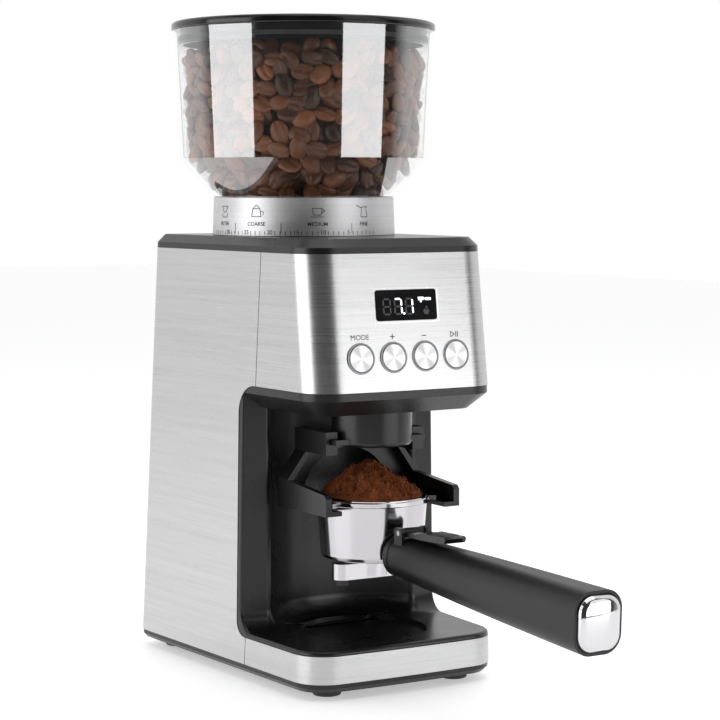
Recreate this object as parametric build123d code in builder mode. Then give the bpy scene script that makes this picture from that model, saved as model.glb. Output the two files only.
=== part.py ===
from build123d import *

import os
from math import atan2, cos, pi, radians, sin, sqrt, tan

# Burr coffee grinder with a bean hopper, a portafilter cradle and a portafilter, in millimetres.
#
# The pieces are drawn about the burr axis, which stands at x = 0, y = 0, with the worktop at z = 0, the
# controls facing -Y and +X to the right of somebody who faces them. save() then moves every piece along Y,
# so that the origin is under the middle of the whole grinder. Every casing part takes its outline from
# section(), so the sheets, covers and trims stay flush when a driving size changes.

# ---------------------------------------------------------------- casing
HALF_WIDTH = 69.0  # half the body's width on the burr axis at the worktop
SIDE_FLARE = 0.056  # growth of the half width for each mm towards the back
SIDE_LEAN = 0.0156  # loss of the half width for each mm of height
BACK_Y = 81.5
BACK_LEAN = 0.0655
SEAM_Y = -46.2  # joint between the steel wrap and the front panels
SEAM_LEAN = 0.0574
BASE_FRONT_Y = -117.0
HEAD_FRONT_Y = -118.5  # front of the head at its lower edge
HEAD_LEAN = 0.1285  # how far the control face leans back for each mm of height
BOW = 2.0  # the front faces bulge this much in the middle
FRONT_RADIUS = 20.0
BACK_RADIUS = 9.0

FOOT_HEIGHT = 4.5
BAND_LOW = 9.5
BAND_HIGH = 25.0
TRAY_TOP = 27.8
CHIN_LOW = 156.0
CHIN_BAND_LOW = 165.0
HEAD_LOW = 169.5
HEAD_HIGH = 245.0
DECK_BAND_HIGH = 248.3
DECK_HIGH = 253.0
DECK_CHAMFER = 4.5

SHEET = 1.2  # steel sheet
WALL = 2.5  # moulded walls
GAP = 0.3  # running gap between parts that move past each other
SEAT_GAP = 0.1  # gap between parts that are only assembled together
SEAM_GAP = 0.5
FOOT_RADIUS = 8.0
COLUMN_RADIUS = 4.5
COLUMN_X = 50.0
COLUMN_YS = (-8.0, 60.0)
SCREW_RADIUS = 2.0
REACH = 150.0  # longer than half of any casing part, for cuts that go right through

# ---------------------------------------------------------------- portafilter bay
CUT_Y = -38.0  # vertical edge of the opening in the wrap's sides
CUT_RADIUS_HIGH = 16.5
CUT_RADIUS_LOW = 9.0
FLANGE_X = 48.0  # inner edge of the bay's angled flanges
FLANGE_SLOPE = 0.23
NOSE_RADIUS = 4.0  # rounds the edge between a flange and the hollow back
COVE_RADIUS = 11.0
OUTLET_Y = -78.0
HOLLOW_RADIUS = 58.0  # the bay's hollow back, about the outlet's axis
OUTLET_RADIUS = 23.0
OUTLET_BORE = 18.0
OUTLET_LOW = 135.5
RECESS_RADIUS = 36.5
RECESS_Y = -69.0
RECESS_DEPTH = 2.2
CHIN_INSET = 11.5

# ---------------------------------------------------------------- hopper
LID_RADIUS = 78.0
LID_LOW = 373.0
LID_THICKNESS = 4.6
HOPPER_TOP_RADIUS = 77.0
HOPPER_KNEE_RADIUS = 73.2
HOPPER_KNEE = 298.0
HOPPER_WALL = 2.2
COLLAR_RADIUS = 53.4
COLLAR_FLARE = 0.8
COLLAR_HIGH = 275.5
COLLAR_WALL = 3.0
FLANGE_LOW = 257.0
FLANGE_HIGH = 260.5
NECK_RADIUS = 30.2
NECK_LOW = 238.5
NECK_SHOULDER = 263.0
SKIRT_LOW = 364.5
SKIRT_RADIUS = 73.0

# ---------------------------------------------------------------- burr set and chamber
CHASSIS_LOW = 186.0
CHASSIS_THICKNESS = 4.0
CHAMBER_RADIUS = 46.0
CHAMBER_WALL = 4.0
CHAMBER_FLOOR = 3.0
CHAMBER_HIGH = 240.0
PORT_WIDTH = 26.0
PORT_HEIGHT = 16.0
RING_BURR_RADIUS = 28.0
RING_BURR_LOW = 212.0
RING_BURR_HEIGHT = 12.0
CONE_LOW_RADIUS = 20.0
CONE_TOP_RADIUS = 11.0
CONE_LOW = 209.0
CONE_HEIGHT = 17.0
BURR_GAP = 1.4
BURR_TEETH = 12
BURR_GROOVE = 1.0
SHAFT_RADIUS = 4.0
BEARING_RADIUS = 11.0
BEARING_HEIGHT = 6.0
RUNNING_GAP = 0.04
IMPELLER_RADIUS = 40.0
IMPELLER_THICKNESS = 2.5
PADDLES = 6

# ---------------------------------------------------------------- drive
MODULE = 1.25
GEAR_TEETH = 48
PINION_TEETH = 10
PRESSURE_ANGLE = 25.0
ADDENDUM = 0.8
DEDENDUM = 1.05
BACKLASH = 0.2
CASE_LOW = 163.0
GEAR_LOW = 171.0
GEAR_WIDTH = 8.0
CASE_RADIUS = 35.0
CASE_NOSE_RADIUS = 19.0
MOTOR_RADIUS = 28.0
MOTOR_LOW = 78.0
MOTOR_SHAFT_RADIUS = 2.5
MOTOR_WALL = 2.0
MAGNET_THICKNESS = 3.3
ARMATURE_RADIUS = 21.0
END_CAP_THICKNESS = 3.0
BUSH_RADIUS = 5.0
BUSH_HEIGHT = 4.0
MOTOR_SCREW_X = 12.0
MOTOR_SCREW_RADIUS = 1.5

# ---------------------------------------------------------------- control face
BUTTON_PITCH = 20.6
BUTTON_Z = 188.0
BUTTON_RADIUS = 7.5
BUTTON_TRAVEL = 1.2
BEZEL_WALL = 0.8
PANEL = 1.6
SCREEN_Z = 216.4
SCREEN_WIDTH = 39.6
SCREEN_HEIGHT = 17.2
WINDOW_THICKNESS = 2.4
BOARD_DEPTH = 14.0
BOARD_THICKNESS = 1.6
BOARD_WIDTH = 84.0
BOARD_HEIGHT = 54.0
BOARD_Z = 203.0
SWITCH_HEIGHT = 4.0

# ---------------------------------------------------------------- cradle
ARM_OUTER = 44.0
ARM_WALL = 3.7
SHELF_INNER = 33.8
ARM_FRONT_Y = -102.0
SHELF_LOW = 99.6
SHELF_THICKNESS = 2.6
ARM_HIGH = 113.5
PLATE_FRONT_Y = -50.0
PLATE_THICKNESS = 3.5
PLATE_SHOULDER = 116.0
ARCH_RADIUS = 29.5
ARCH_Z = 101.5
HOOK_OUTER = 32.5
HOOK_WALL = 2.8
HOOK_LOW = 131.0
HOOK_HIGH = 144.0
HOOK_FRONT_Y = -82.0
RAIL_HEIGHT = 3.0
RAIL_LENGTH = 20.0

# ---------------------------------------------------------------- portafilter
CUP_TOP_RADIUS = 31.4
CUP_LOW_RADIUS = 29.3
CUP_HIGH = 105.8
CUP_LOW = 71.0
CUP_WALL = 2.2
RIM_WIDTH = 1.0
RIM_HEIGHT = 2.6
BASKET_WALL = 0.6
BASKET_DEPTH = 26.0
LUG_RADIUS = 37.4
LUG_HEIGHT = 2.6
LUG_ANGLE = 46.0
SPOUT_HALF_LENGTH = 25.5
SPOUT_WIDTH = 12.0
SPOUT_LOW = 59.5
SPOUT_HEIGHT = 9.0
TIP_LOW = 56.0
TIP_RADIUS = 3.4
HANDLE_ROOT = -114.0
HANDLE_END = -293.5
HANDLE_ROOT_Z = 76.0
HANDLE_DROP = 2.2  # degrees that the handle points down
HANDLE_ROOT_SIZE = 24.0
HANDLE_END_WIDTH = 29.0
HANDLE_END_HEIGHT = 32.5
HANDLE_CORNER = 10.0
CAP_THICKNESS = 6.5
CAP_INSET = 1.6
FERRULE_RADIUS = 12.4
FERRULE_LENGTH = 5.0
BOLT_RADIUS = 4.0
BOLT_LENGTH = 45.0
PIN_RADIUS = 1.5
CLIP_Y = -121.0
CLIP_Z = 90.6
CLIP_WIDTH = 13.6
CLIP_LENGTH = 44.0
CLIP_THICKNESS = 2.4
EAR_WALL = 2.4

# ---------------------------------------------------------------- worked out from them
CENTRE_DISTANCE = MODULE * (GEAR_TEETH + PINION_TEETH) / 2
MOTOR_Y = CENTRE_DISTANCE
CHASSIS_HIGH = CHASSIS_LOW + CHASSIS_THICKNESS
FLOOR_HIGH = CHASSIS_HIGH + CHAMBER_FLOOR
SHELF_HIGH = SHELF_LOW + SHELF_THICKNESS
BASE_FLOOR = FOOT_HEIGHT + 3.0
FACE_ANGLE = atan2(HEAD_LEAN, 1.0)
BUTTON_XS = [BUTTON_PITCH * (index - 1.5) for index in range(4)]
BEZEL_RADIUS = BUTTON_RADIUS + GAP + BEZEL_WALL
HANDLE_SLOPE = tan(radians(HANDLE_DROP))
MOTOR_HIGH = CASE_LOW - END_CAP_THICKNESS
CARRIER_RADIUS = CHAMBER_RADIUS - CHAMBER_WALL - GAP
LOWER_BEARING = CASE_LOW + 1.0
UPPER_BEARING = CHASSIS_HIGH - BEARING_HEIGHT - 1.0
RAIL_Z = (HOOK_LOW + HOOK_HIGH) / 2 + 1.0
FERRULE_START = HANDLE_ROOT + FERRULE_LENGTH
BOSS_START = FERRULE_START + 5.0
BOLT_START = OUTLET_Y - CUP_LOW_RADIUS + 0.4
FOOTPRINT_SHIFT = -(HANDLE_END + BACK_Y - BACK_LEAN * BAND_LOW) / 2

os.makedirs("parts", exist_ok=True)


def save(builder, name):
    """Labels a finished piece, moves it over the footprint's middle and writes its STEP file."""
    builder.part.label = name
    export_step(builder.part.moved(Location((0, FOOTPRINT_SHIFT, 0))), f"parts/{name}.step")


def half_width(y, z):
    return HALF_WIDTH + SIDE_FLARE * y - SIDE_LEAN * z


def back_y(z):
    return BACK_Y - BACK_LEAN * z


def seam_y(z):
    return SEAM_Y - SEAM_LEAN * z


def head_front_y(z):
    return HEAD_FRONT_Y + HEAD_LEAN * (z - HEAD_LOW)


def handle_z(y):
    """Height of the handle's axis at y."""
    return HANDLE_ROOT_Z + HANDLE_SLOPE * (y - HANDLE_ROOT)


def section(z, front, inset=0.0):
    """The body's outline at height z, with its front edge at y = front, shrunk by inset all round."""
    y_front = front + inset
    y_back = back_y(z) - inset
    x_front = half_width(y_front, z) - inset
    x_back = half_width(y_back, z) - inset
    with BuildSketch(Plane.XY.offset(z)) as outline:
        with BuildLine():
            Polyline((-x_front, y_front), (-x_back, y_back), (x_back, y_back), (x_front, y_front))
            ThreePointArc((x_front, y_front), (0, y_front - BOW), (-x_front, y_front))
        make_face()
        fillet(outline.vertices().group_by(Axis.Y)[-1], max(BACK_RADIUS - inset, 1.0))
        fillet(outline.vertices().group_by(Axis.Y)[0], max(FRONT_RADIUS - inset, 1.0))
    return outline.sketch


def slab(z_low, z_high, fronts, insets=(0.0, 0.0), mode=Mode.ADD):
    """A solid between two outlines of the body, given the front edge and the inset of each."""
    low = section(z_low, fronts[0], insets[0])
    high = section(z_high, fronts[1], insets[1])
    loft([low, high], ruled=True, mode=mode)


def head_slab(z_low, z_high, insets=(0.0, 0.0), mode=Mode.ADD):
    """A slab whose front is the leaning control face."""
    slab(z_low, z_high, (head_front_y(z_low), head_front_y(z_high)), insets, mode)


def base_slab(z_low, z_high, insets=(0.0, 0.0), mode=Mode.ADD):
    """A slab whose front is the upright front of the base."""
    slab(z_low, z_high, (BASE_FRONT_Y, BASE_FRONT_Y), insets, mode)


def block(x_range, y_range, z_range, mode=Mode.ADD):
    """The box between three pairs of limits."""
    spans = (x_range, y_range, z_range)
    with Locations([tuple((low + high) / 2 for low, high in spans)]):
        Box(*[high - low for low, high in spans], mode=mode)


def tube(centre, outer, inner, z_low, z_high, mode=Mode.ADD):
    """An upright ring, or a disc where inner is 0."""
    with BuildSketch(Plane.XY.offset(z_low)) as ring:
        with Locations([centre]):
            Circle(outer)
            if inner:
                Circle(inner, mode=Mode.SUBTRACT)
    extrude(ring.sketch, amount=z_high - z_low, mode=mode)


def tubes(centres, outer, inner, z_low, z_high, mode=Mode.ADD):
    for centre in centres:
        tube(centre, outer, inner, z_low, z_high, mode)


def spun(points, y_axis=0.0, mode=Mode.ADD):
    """Turns a closed outline of (radius, height) points about the upright axis at x = 0, y = y_axis."""
    with BuildSketch(Plane.XZ.offset(-y_axis)) as profile:
        with BuildLine():
            Polyline(*points, close=True)
        make_face()
    revolve(profile.sketch, axis=Axis((0, y_axis, 0), (0, 0, 1)), mode=mode)


def side_cut(points, mode):
    """Extrudes a closed outline of (y, z) points right through the body along X."""
    with BuildSketch(Plane.YZ.offset(-REACH)) as profile:
        with BuildLine():
            Polyline(*points, close=True)
        make_face()
    extrude(profile.sketch, amount=2 * REACH, mode=mode)


def ahead_of_seam(shift, mode):
    """Keeps or removes what lies in front of the seam, moved back by shift."""
    low, high = -10.0, HEAD_HIGH + 20.0
    far = -2 * REACH
    side_cut([(far, low), (seam_y(low) + shift, low), (seam_y(high) + shift, high), (far, high)], mode)


def opening(inset, mode):
    """Keeps or removes the bay's opening as seen from the side, shrunk by inset."""
    edge, low, high = CUT_Y - inset, BAND_HIGH + inset, HEAD_LOW - inset
    far = -2 * REACH
    with BuildSketch(Plane.YZ.offset(-REACH)) as profile:
        with BuildLine():
            Polyline((far, low), (edge, low), (edge, high), (far, high), close=True)
        make_face()
        fillet(profile.vertices().group_by(Axis.Y)[-1].sort_by(Axis.X)[-1], CUT_RADIUS_HIGH - inset)
        fillet(profile.vertices().group_by(Axis.Y)[0].sort_by(Axis.X)[-1], CUT_RADIUS_LOW - inset)
    extrude(profile.sketch, amount=2 * REACH, mode=mode)


def inner_path(points, wall):
    """A path of (radius, height) points moved by wall to the left of its direction."""
    lines = []
    for (r0, z0), (r1, z1) in zip(points, points[1:]):
        length = sqrt((r1 - r0) ** 2 + (z1 - z0) ** 2)
        across = ((z0 - z1) / length * wall, (r1 - r0) / length * wall)
        lines.append(((r0 + across[0], z0 + across[1]), (r1 + across[0], z1 + across[1])))
    path = [lines[0][0]]
    for (a, b), (c, d) in zip(lines, lines[1:]):
        ab, cd, ac = (b[0] - a[0], b[1] - a[1]), (d[0] - c[0], d[1] - c[1]), (c[0] - a[0], c[1] - a[1])
        share = (ac[0] * cd[1] - ac[1] * cd[0]) / (ab[0] * cd[1] - ab[1] * cd[0])
        path.append((a[0] + ab[0] * share, a[1] + ab[1] * share))
    return path + [lines[-1][1]]


def face_plane(x, z, depth=0.0):
    """A plane at x and z on the control face, depth below its surface, whose normal points out."""
    bulge = BOW * (1 - (x / half_width(head_front_y(z), z)) ** 2)
    normal = Vector(0, -cos(FACE_ANGLE), sin(FACE_ANGLE))
    origin = Vector(x, head_front_y(z) - bulge, z) - normal * depth
    return Plane(origin=origin, x_dir=(1, 0, 0), z_dir=normal)


def handle_plane(y):
    """The plane across the handle where its axis is at y; its normal points along the handle."""
    angle = radians(HANDLE_DROP)
    return Plane(origin=(0, y, handle_z(y)), x_dir=(1, 0, 0), z_dir=(0, -cos(angle), -sin(angle)))


# ================================================================ base
FOOT_PLACES = [(-42, -99), (42, -99), (-54, 62), (54, 62)]
COLUMN_PLACES = [(side * COLUMN_X, y) for side in (-1, 1) for y in COLUMN_YS]
BOARD_POSTS = [(side * 26, y) for side in (-1, 1) for y in (2, 54)]

with BuildPart() as base_plate:
    base_slab(FOOT_HEIGHT, FOOT_HEIGHT + 2.5, (3.0, 0.6))
    base_slab(FOOT_HEIGHT + 2.5, BAND_LOW - SEAT_GAP, (0.6, 0.4))
    base_slab(BASE_FLOOR, BAND_LOW, (4.0, 4.0), Mode.SUBTRACT)
    tubes(BOARD_POSTS, 3.0, 0, BASE_FLOOR - 1, BASE_FLOOR + 6)
    tubes(COLUMN_PLACES, 4.0, 0, FOOT_HEIGHT - 1, FOOT_HEIGHT + 1.5, Mode.SUBTRACT)
    tubes(COLUMN_PLACES, SCREW_RADIUS + SEAT_GAP, 0, FOOT_HEIGHT, BASE_FLOOR + 1, Mode.SUBTRACT)
    with BuildSketch(Plane.XY.offset(FOOT_HEIGHT - 1)):
        with Locations([(0, 25)]):
            with GridLocations(7, 1, 9, 1):
                SlotOverall(30, 3, rotation=90)
    extrude(amount=BAND_LOW, mode=Mode.SUBTRACT)
save(base_plate, "base_plate")

with BuildPart() as feet:
    tubes(FOOT_PLACES, FOOT_RADIUS, 0, 0, FOOT_HEIGHT)
    fillet(feet.edges().group_by(Axis.Z)[0], 1.0)
save(feet, "feet")

with BuildPart() as base_screws:
    tubes(COLUMN_PLACES, 3.6, 0, FOOT_HEIGHT + 0.2, FOOT_HEIGHT + 1.5)
    tubes(COLUMN_PLACES, SCREW_RADIUS, 0, FOOT_HEIGHT + 1, BASE_FLOOR + 12)
    for x, y in COLUMN_PLACES:
        block((x - 2.4, x + 2.4), (y - 0.4, y + 0.4), (FOOT_HEIGHT, FOOT_HEIGHT + 0.8), Mode.SUBTRACT)
save(base_screws, "base_screws")

with BuildPart() as base_band:
    base_slab(BAND_LOW, BAND_HIGH)
    base_slab(BAND_LOW - 1, BAND_HIGH + 1, (SHEET, SHEET), Mode.SUBTRACT)
    ahead_of_seam(-SEAM_GAP, Mode.INTERSECT)
save(base_band, "base_band")

# ================================================================ steel wrap, head and deck
GLAND_X = -36.0
GLAND_Z = 30.0
GLAND_RADIUS = 7.0
GLAND_BORE = 3.6
back_normal = Vector(0, 1, BACK_LEAN).normalized()
gland_plane = Plane(origin=(GLAND_X, back_y(GLAND_Z), GLAND_Z), x_dir=(-1, 0, 0), z_dir=back_normal)

with BuildPart() as body_shell:
    base_slab(BAND_LOW, HEAD_HIGH - SEAT_GAP)
    base_slab(BAND_LOW - 1, HEAD_HIGH + 1, (SHEET, SHEET), Mode.SUBTRACT)
    ahead_of_seam(0.0, Mode.SUBTRACT)
    opening(0.0, Mode.SUBTRACT)
    with BuildSketch(gland_plane.offset(-5)):
        Circle(GLAND_RADIUS + SEAT_GAP)
    extrude(amount=10, mode=Mode.SUBTRACT)
save(body_shell, "body_shell")

with BuildPart() as cord_gland:
    with BuildSketch(gland_plane.offset(SEAT_GAP)):
        Circle(GLAND_RADIUS + 3)
    extrude(amount=2.2, taper=12)
    with BuildSketch(gland_plane.offset(0.5)):
        Circle(GLAND_RADIUS)
    extrude(amount=-9)
    with BuildSketch(gland_plane.offset(-10)):
        Circle(GLAND_BORE)
    extrude(amount=20, mode=Mode.SUBTRACT)
save(cord_gland, "cord_gland")

with BuildPart() as head_panel:
    head_slab(HEAD_LOW, HEAD_HIGH - SEAT_GAP)
    head_slab(HEAD_LOW - 1, HEAD_HIGH + 1, (PANEL, PANEL), Mode.SUBTRACT)
    ahead_of_seam(-SEAM_GAP, Mode.INTERSECT)
    with BuildSketch(face_plane(0, SCREEN_Z, 6)):
        RectangleRounded(SCREEN_WIDTH, SCREEN_HEIGHT, 1.6)
    extrude(amount=12, mode=Mode.SUBTRACT)
    for x in BUTTON_XS:
        with BuildSketch(face_plane(x, BUTTON_Z, 6)):
            Circle(BEZEL_RADIUS + SEAT_GAP)
        extrude(amount=12, mode=Mode.SUBTRACT)
save(head_panel, "head_panel")

with BuildPart() as top_deck:
    head_slab(HEAD_HIGH, DECK_BAND_HIGH)
    head_slab(DECK_BAND_HIGH, DECK_HIGH, (0.0, DECK_CHAMFER))
    head_slab(HEAD_HIGH - 1, DECK_BAND_HIGH + 1, (WALL, WALL + 1), Mode.SUBTRACT)
    tube((0, 0), CHAMBER_RADIUS + 1, 0, HEAD_HIGH, DECK_HIGH + 1, Mode.SUBTRACT)
save(top_deck, "top_deck")

# ================================================================ bay frame: tray, hollow back and chin
hollow_back_y = OUTLET_Y + sqrt(HOLLOW_RADIUS ** 2 - FLANGE_X ** 2)

with BuildPart() as bay_space:
    far_x = 90.0
    far_y = hollow_back_y + FLANGE_SLOPE * (far_x - FLANGE_X)
    with BuildSketch(Plane.XY.offset(TRAY_TOP)) as bay_plan:
        with BuildLine():
            Polyline(
                (-far_x, far_y), (-FLANGE_X, hollow_back_y), (FLANGE_X, hollow_back_y), (far_x, far_y),
                (far_x, -2 * REACH), (-far_x, -2 * REACH), close=True,
            )
        make_face()
        with Locations([(0, OUTLET_Y)]):
            Circle(HOLLOW_RADIUS)
        corners = bay_plan.vertices().filter_by(lambda v: abs(v.Y - hollow_back_y) < 0.1)
        fillet(corners, NOSE_RADIUS)
    extrude(amount=HEAD_LOW - TRAY_TOP)
    low_edges = bay_space.edges().group_by(Axis.Z)[0]
    fillet(low_edges.filter_by(lambda e: e.center().Y > -55), COVE_RADIUS)

with BuildPart() as chin_block:
    chin_fronts = (HEAD_FRONT_Y, HEAD_FRONT_Y)
    slab(CHIN_LOW, CHIN_BAND_LOW, chin_fronts, (CHIN_INSET, 0.4))
    slab(CHIN_BAND_LOW, HEAD_LOW, chin_fronts, (0.4, 0.4))
    opening(GAP, Mode.INTERSECT)

with BuildPart() as tray_plate:
    base_slab(TRAY_TOP - RECESS_DEPTH - WALL, BAND_HIGH + 0.5, (SHEET + 1, SHEET + 1))
    ahead_of_seam(-1.0, Mode.INTERSECT)

with BuildPart() as bay_frame:
    base_slab(BAND_HIGH + SEAT_GAP, HEAD_LOW - GAP, (0.3, 0.3))
    opening(GAP, Mode.INTERSECT)
    with BuildSketch(Plane.XY.offset(BAND_HIGH + SEAT_GAP)):
        with Locations([(0, OUTLET_Y)]):
            Circle(HOLLOW_RADIUS + WALL)
        with Locations([(0, CUT_Y - 1 - REACH)]):
            Rectangle(4 * REACH, 2 * REACH, mode=Mode.SUBTRACT)
    extrude(amount=CHIN_LOW + WALL - BAND_HIGH - SEAT_GAP)
    add(bay_space.part, mode=Mode.SUBTRACT)
    lip = bay_frame.edges().filter_by_position(Axis.Z, TRAY_TOP - 0.05, TRAY_TOP + 0.05)
    fillet(lip.filter_by(lambda e: e.center().Y < -60), 2.0)
    add(chin_block.part)
    with BuildSketch(Plane.XY.offset(CHIN_LOW)):
        with Locations([(0, OUTLET_Y)]):
            Circle(HOLLOW_RADIUS + WALL)
        with Locations([(0, PLATE_FRONT_Y - REACH)]):
            Rectangle(4 * REACH, 2 * REACH, mode=Mode.SUBTRACT)
    extrude(amount=WALL)
    add(tray_plate.part)
    rise = WALL / (CHIN_BAND_LOW - CHIN_LOW) * CHIN_INSET
    slab(CHIN_LOW + WALL, CHIN_BAND_LOW, chin_fronts, (CHIN_INSET + WALL - rise, 0.4 + WALL), Mode.SUBTRACT)
    slab(CHIN_BAND_LOW, HEAD_LOW + 1, chin_fronts, (0.4 + WALL, 0.4 + WALL), Mode.SUBTRACT)
    tube((0, OUTLET_Y), OUTLET_BORE, 0, CHIN_LOW - 1, CHIN_LOW + WALL + 1, Mode.SUBTRACT)
    recess_low = TRAY_TOP - RECESS_DEPTH
    spun(
        [(0, recess_low), (RECESS_RADIUS - 1.6, recess_low), (RECESS_RADIUS, TRAY_TOP),
         (RECESS_RADIUS, TRAY_TOP + 1), (0, TRAY_TOP + 1)],
        RECESS_Y, Mode.SUBTRACT,
    )
save(bay_frame, "bay_frame")

with BuildPart() as outlet_nozzle:
    tube((0, OUTLET_Y), OUTLET_RADIUS, 0, OUTLET_LOW, CHIN_LOW)
    fillet(outlet_nozzle.edges().group_by(Axis.Z)[0], 2.5)
    for side in (-1, 1):
        rail_x = sorted((side * (OUTLET_RADIUS - 3), side * (HOOK_OUTER - HOOK_WALL - GAP)))
        rail_y = (OUTLET_Y - RAIL_LENGTH / 2, OUTLET_Y + RAIL_LENGTH / 2)
        block(rail_x, rail_y, (RAIL_Z - RAIL_HEIGHT / 2, RAIL_Z + RAIL_HEIGHT / 2))
    tube((0, OUTLET_Y), OUTLET_BORE, 0, OUTLET_LOW - 1, CHIN_LOW + 1, Mode.SUBTRACT)
save(outlet_nozzle, "outlet_nozzle")

with BuildPart() as outlet_chute:
    chute_x = OUTLET_BORE + WALL - 1.0
    chute_back = -CHAMBER_RADIUS - GAP
    port_low, port_high = FLOOR_HIGH + 0.5, FLOOR_HIGH + 0.5 + PORT_HEIGHT
    chute_low = CHIN_LOW + WALL + SEAT_GAP
    front, rear = OUTLET_Y - OUTLET_BORE - 1, OUTLET_Y + OUTLET_BORE + 1
    side_cut([(chute_back, port_high + WALL), (chute_back - 22, port_high + WALL), (front, port_low - 8),
              (front, chute_low), (rear, chute_low), (rear, port_low - 16), (chute_back, port_low - WALL)],
             Mode.ADD)
    block((-chute_x, chute_x), (front - 1, 0), (chute_low - 1, port_high + 5), Mode.INTERSECT)
    with BuildSketch(Plane.YZ.offset(-chute_x + WALL)) as duct:
        with BuildLine():
            Polyline((chute_back + 5, port_high), (chute_back - 21, port_high), (front + WALL, port_low - 9),
                     (front + WALL, chute_low - 5), (rear - WALL, chute_low - 5), (rear - WALL, port_low - 14.5),
                     (chute_back, port_low), (chute_back + 5, port_low), close=True)
        make_face()
    extrude(amount=2 * (chute_x - WALL), mode=Mode.SUBTRACT)
save(outlet_chute, "outlet_chute")

# ================================================================ control face
with BuildPart() as display_window:
    with BuildSketch(face_plane(0, SCREEN_Z, WINDOW_THICKNESS)):
        RectangleRounded(SCREEN_WIDTH - 2 * SEAT_GAP, SCREEN_HEIGHT - 2 * SEAT_GAP, 1.5)
    extrude(amount=WINDOW_THICKNESS + 0.2)
save(display_window, "display_window")

with BuildPart() as display_module:
    with BuildSketch(face_plane(0, SCREEN_Z, WINDOW_THICKNESS + SEAT_GAP)):
        Rectangle(SCREEN_WIDTH + 4, SCREEN_HEIGHT + 4)
    extrude(amount=-(BOARD_DEPTH - BOARD_THICKNESS - WINDOW_THICKNESS - 2 * SEAT_GAP))
save(display_module, "display_module")

board_plane = face_plane(0, BOARD_Z, BOARD_DEPTH)
with BuildPart() as control_board:
    with BuildSketch(board_plane):
        RectangleRounded(BOARD_WIDTH, BOARD_HEIGHT, 2)
        with GridLocations(BOARD_WIDTH - 6, BOARD_HEIGHT - 6, 2, 2):
            Circle(1.6, mode=Mode.SUBTRACT)
    extrude(amount=BOARD_THICKNESS)
save(control_board, "control_board")

with BuildPart() as tact_switches:
    switch_y = (BUTTON_Z - BOARD_Z) / cos(FACE_ANGLE)
    with BuildSketch(board_plane.offset(BOARD_THICKNESS)):
        with Locations([(x, switch_y) for x in BUTTON_XS]):
            Rectangle(6, 6)
    extrude(amount=SWITCH_HEIGHT)
save(tact_switches, "tact_switches")

with BuildPart() as button_bezels:
    for x in BUTTON_XS:
        with BuildSketch(face_plane(x, BUTTON_Z, 3)):
            Circle(BEZEL_RADIUS)
            Circle(BUTTON_RADIUS + GAP, mode=Mode.SUBTRACT)
        extrude(amount=3.4)
save(button_bezels, "button_bezels")

for name, x in zip(("mode", "plus", "minus", "start"), BUTTON_XS):
    stem_end = BOARD_DEPTH - BOARD_THICKNESS - SWITCH_HEIGHT - BUTTON_TRAVEL - 0.8
    with BuildPart() as button:
        with BuildSketch(face_plane(x, BUTTON_Z, 2.5)):
            Circle(BUTTON_RADIUS)
        extrude(amount=3.3)
        fillet(button.edges().group_by(Axis.Y)[0], 0.5)
        with BuildSketch(face_plane(x, BUTTON_Z, stem_end)):
            Circle(2.2)
        extrude(amount=stem_end - 2)
    save(button, f"button_{name}")

# ================================================================ chassis, gearbox and burr chamber
with BuildPart() as chassis:
    base_slab(CHASSIS_LOW, CHASSIS_HIGH, (3.0, 3.0))
    block((-REACH, REACH), (-36, REACH), (CHASSIS_LOW - 1, CHASSIS_HIGH + 1), Mode.INTERSECT)
    tubes(COLUMN_PLACES, COLUMN_RADIUS, 0, BASE_FLOOR, CHASSIS_LOW + 1)
    tube((0, 0), BEARING_RADIUS + 3, 0, UPPER_BEARING - 1.5, CHASSIS_LOW + 1)
    tube((0, 0), BEARING_RADIUS, 0, UPPER_BEARING, CHASSIS_HIGH + 1, Mode.SUBTRACT)
    tube((0, 0), SHAFT_RADIUS + 2, 0, CHASSIS_LOW - 9, CHASSIS_HIGH + 1, Mode.SUBTRACT)
    tubes(COLUMN_PLACES, SCREW_RADIUS + SEAT_GAP, 0, BASE_FLOOR - 1, BASE_FLOOR + 13, Mode.SUBTRACT)
save(chassis, "chassis")

with BuildPart() as ball_bearings:
    for low in (LOWER_BEARING, UPPER_BEARING):
        tube((0, 0), BEARING_RADIUS, SHAFT_RADIUS + RUNNING_GAP, low, low + BEARING_HEIGHT)
save(ball_bearings, "ball_bearings")


def case_outline(z, grow):
    """The gearbox's plan at height z: the hull of a circle for each gear, grown by grow."""
    with BuildSketch(Plane.XY.offset(z)) as plan:
        with Locations([(0, 0)]):
            Circle(CASE_RADIUS + grow)
        with Locations([(0, MOTOR_Y)]):
            Circle(CASE_NOSE_RADIUS + grow)
        make_hull()
    return plan.sketch


with BuildPart() as gearbox_case:
    extrude(case_outline(CASE_LOW, 0), amount=CHASSIS_LOW - CASE_LOW)
    extrude(case_outline(CASE_LOW + 3, -WALL), amount=CHASSIS_LOW, mode=Mode.SUBTRACT)
    tube((0, 0), BEARING_RADIUS + 3, 0, CASE_LOW, LOWER_BEARING + BEARING_HEIGHT)
    tube((0, 0), BEARING_RADIUS, 0, LOWER_BEARING, CHASSIS_LOW, Mode.SUBTRACT)
    tube((0, MOTOR_Y), BUSH_RADIUS + 1, 0, CASE_LOW - 1, CASE_LOW + 4, Mode.SUBTRACT)
    motor_screw_places = [(side * MOTOR_SCREW_X, MOTOR_Y) for side in (-1, 1)]
    tubes(motor_screw_places, MOTOR_SCREW_RADIUS + SEAT_GAP, 0, CASE_LOW - 1, CASE_LOW + 4, Mode.SUBTRACT)
save(gearbox_case, "gearbox_case")

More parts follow.
